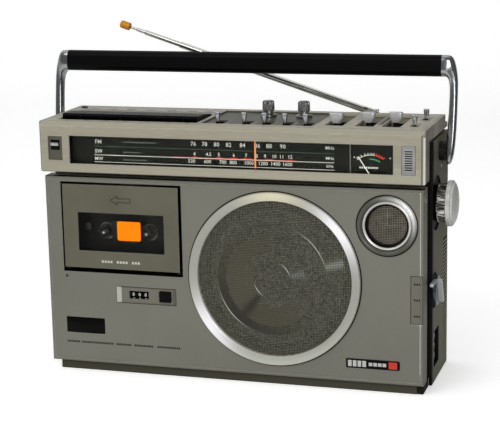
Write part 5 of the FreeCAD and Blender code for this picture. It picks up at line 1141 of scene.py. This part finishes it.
# Handle
# Plated arms that turn on pivots in the sides. Each is thin at its foot, grows towards the top
# and turns inwards to a head as deep as the padded black grip between them.
HANDLE_PIVOT = (0, 66.0, 211.0)
handle_lean = math.radians(9.0)
HANDLE = ((1, 0, 0), (0, math.cos(handle_lean), -math.sin(handle_lean)),
          (0, math.sin(handle_lean), math.cos(handle_lean)))
arm_line = np.array([
    # outer x, outer z, inner x, inner z, depth
    (180.9, 86.0, 180.9, 66.6, 19.0), (184.5, 86.0, 182.6, 66.6, 19.0),
    (187.6, 85.6, 184.2, 66.4, 18.6), (189.6, 84.2, 185.4, 65.8, 17.8),
    (191.2, 80.8, 186.4, 64.8, 16.4), (192.6, 76.0, 187.2, 63.2, 14.6),
    (193.9, 70.0, 187.8, 60.6, 12.8), (194.8, 62.0, 188.2, 56.0, 11.4),
    (195.0, 52.0, 188.2, 49.0, 10.6), (195.0, 36.0, 187.9, 35.0, 10.2),
    (194.8, 20.0, 187.3, 20.0, 10.0), (194.2, 6.0, 186.7, 6.0, 10.0),
    (193.4, -2.0, 186.6, -2.0, 9.8), (192.4, -7.0, 186.6, -7.0, 9.0),
    (191.2, -10.4, 186.8, -10.4, 7.2), (189.8, -12.0, 187.4, -12.0, 4.4)])
arm_chrome = finish("arm_chrome", (186, 188, 190), (166, 168, 171), 0.2, metal=1.0, patches=16,
                    tooth=500, bump=0.04)
# An arm's section is a rounded square: the cosine and the sine, each to the power 0.55.
round_arm = np.linspace(0, 2 * np.pi, 40, endpoint=False)
square = [np.sign(wave) * np.abs(wave) ** 0.55 for wave in (np.cos(round_arm), np.sin(round_arm))]
outer, inner = arm_line[:, None, :2], arm_line[:, None, 2:4]
arm_middle = (outer + inner + (outer - inner) * square[0][:, None]) / 2
arm_rings = np.stack([arm_middle[..., 0], arm_line[:, 4:] / 2 * square[1], arm_middle[..., 1]], -1)
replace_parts(piece("handle_arm_pair", [turn(arm_rings * (side, 1, 1), HANDLE_PIVOT, HANDLE)
                                      for side in (1, -1)], arm_chrome, "handle",
                  crease=50), "handle_arms")
# The pivots are painted black as the shade of the recess round each.
coat_node(spindle_black, "handle_pivots")
grip_black = finish("grip_black", (8, 9, 7), (5, 6, 4), 0.42, patches=40, tooth=1300,
                    stretch=(0.3, 1, 1), bump=0.5, spread=0.2, specular=0.12)
coat_node(grip_black, "handle_grip")

# Antenna
# Plated tubes that slide one inside another, with a golden tip. A flat tongue holds the thickest
# one in the fork of its swivel.
MAST_PIVOT = (113.0, 102.6, 238.0)
mast_lean = math.radians(18.0)
MAST = ((0, 1, 0), (-math.sin(mast_lean), 0, -math.cos(mast_lean)),
        (-math.cos(mast_lean), 0, math.sin(mast_lean)))
tube_chrome = finish("tube_chrome", (228, 229, 223), (212, 213, 207), 0.14, metal=1.0, patches=30)
coat_node(tube_chrome, "antenna_swivel")
tubes = [(1, 3.1, 10.0, 200.0), (2, 2.5, 36.0, 237.0), (3, 1.9, 48.0, 246.0), (4, 1.3, 60.0, 255.0)]
for number, radius, near, far in tubes:
    body = "antenna_section_%d" % number
    form = [turn(spun([(radius - 0.52, near), (radius, near), (radius, far - 0.5),
                       (radius - 0.2, far), (radius - 0.52, far)], 40), MAST_PIVOT, MAST)]
    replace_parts(piece("antenna_tube_%d" % number, form, tube_chrome, body,
                      endless=True), body)
half_turn = np.linspace(np.pi / 2, 1.5 * np.pi, 13)
tongue_line = np.concatenate([[(12.5, 2.5), (10.5, 3.0)],
                              3.0 * np.stack([np.cos(half_turn), np.sin(half_turn)], -1),
                              [(10.5, -3.0), (12.5, -2.5)]])
tongue = np.empty((2, len(tongue_line), 3))
tongue[..., 0] = np.array([-2.1, 2.1])[:, None]
tongue[..., 1] = tongue_line[:, 1]
tongue[..., 2] = tongue_line[:, 0]
piece("antenna_tongue", [turn(tongue, MAST_PIVOT, MAST)], tube_chrome, "antenna_section_1",
      edge=0.2)
tip_gold = finish("tip_gold", (214, 146, 50), (196, 128, 36), 0.35, metal=0.4, patches=60)
piece("antenna_tip", [turn(spun([(1.2, 253.6), (3.3, 253.6), (3.8, 254.2), (3.8, 262.2),
                                 (3.5, 262.9), (2.9, 263.4), (0, 263.4)], 40), MAST_PIVOT, MAST)],
      tip_gold, "antenna_section_4")

# Side knobs
# Plated tuning knob with a fluted hub and a brushed dome, and below it the band selector: a disc
# with a ridge across it and a grooved tongue that reaches forward.
TUNING = (0.0, 50.0, 166.5)
# The dome glows a little, a painted brightness with no lamp behind it.
dome_metal = finish("dome_metal", (226, 227, 223), (212, 213, 208), 0.28, metal=0.4, patches=20,
                    lathe=(TUNING, (1, 0, 0), 2400.0, 0.7), glow=0.06)
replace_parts(piece("tuning_body", [turn(spun([
    (0, 151.8), (3.0, 151.8), (3.0, 191.5), (20.2, 191.5), (20.8, 192.0), (20.8, 195.4),
    (20.4, 195.9), (19.7, 196.2), (19.5, 194.9), (18.6, 194.9), (18.4, 197.4), (16.0, 198.6),
    (12.0, 199.5), (7.0, 200.2), (0, 200.5)], 96),
    TUNING, "right")], dome_metal, "tuning_knob"), "tuning_knob")
hub_metal = finish("hub_metal", (224, 223, 214), (206, 205, 196), 0.12, metal=1.0, patches=20)
piece("tuning_hub", [turn(spun([
    (3.02, 183.6), (17.6, 183.6), (18.0, 184.0), (18.0, 190.6), (17.8, 191.45), (3.02, 191.45)], 240,
    teeth=12, depth=1.9, cut=(2, 3)), TUNING, "right")], hub_metal, "tuning_knob",
    endless=True)
# A black collar at the hub's root is a painted shadow under the dome's rim.
piece("tuning_shadow_collar", [turn(spun([(3.02, 179.8), (16.4, 179.8), (16.4, 183.58), (3.02, 183.58)], 72),
                             TUNING, "right")], plate_black, "tuning_knob",
      endless=True)
SELECTOR = (0.0, 40.0, 88.0)
selector_metal = finish("selector_metal", (112, 118, 124), (94, 99, 105), 0.22, metal=0.9, patches=40)
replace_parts(piece("selector_disc", [turn(spun([
    (3.0, 151.8), (3.0, 179.8), (8.0, 179.8), (8.0, 181.8), (13.6, 181.8), (14.0, 182.2),
    (14.0, 184.0), (13.4, 184.7), (12.4, 184.8), (0, 184.9)], 72), SELECTOR, "right")],
    selector_metal, "band_selector"), "band_selector")
ridge = np.array([(-6.4, 11.9), (-3.4, 11.9), (6.4, -11.9), (3.4, -11.9)])
piece("selector_ridge", [turn(prism(ridge, 182.0, 189.3), SELECTOR, "right")], cap_metal,
      "band_selector", edge=0.9)
tongue_bars = [(181.8, 184.8, 14.0, 32.0, 97.5, 100.5)]
tongue_bars += [(184.7, 185.1, 15.0, 31.0, z, z + 0.5) for z in (97.9, 98.9, 99.7)]
piece("selector_tongue", [bars(tongue_bars)], cap_metal, "band_selector", edge=0.15)

# Sockets and electronics
# Black jack plate with bright bushes, the power inlet, the green board with its tuning
# capacitor, and the transformer with its steel core.
socket_black = finish("socket_black", (12, 12, 12), (8, 8, 8), 0.5, tooth=1600, bump=0.2,
                      specular=0.12)
coat_node(socket_black, "sockets")
piece("jack_bushes", [turn(spun([(1.8, -2.4), (1.8, 0.5), (2.1, 0.8), (3.2, 0.8), (3.5, 0.4),
                                 (3.5, -0.3)], 32), (178.0, 51.5, z), "right")
                      for z in (23.0, 32.0, 41.0)], strip_metal, "cabinet", endless=True)
board_green = finish("board_green", (48, 88, 62), (38, 74, 52), 0.4, patches=60, boxes=[
    ((122.0, 37.0, 180.5), (148.0, 63.0, 205.2), (176, 176, 172)),
    ((-161.0, 59.0, 11.0), (-109.0, 101.0, 54.0), (92, 88, 82))])
coat_node(board_green, "electronics")
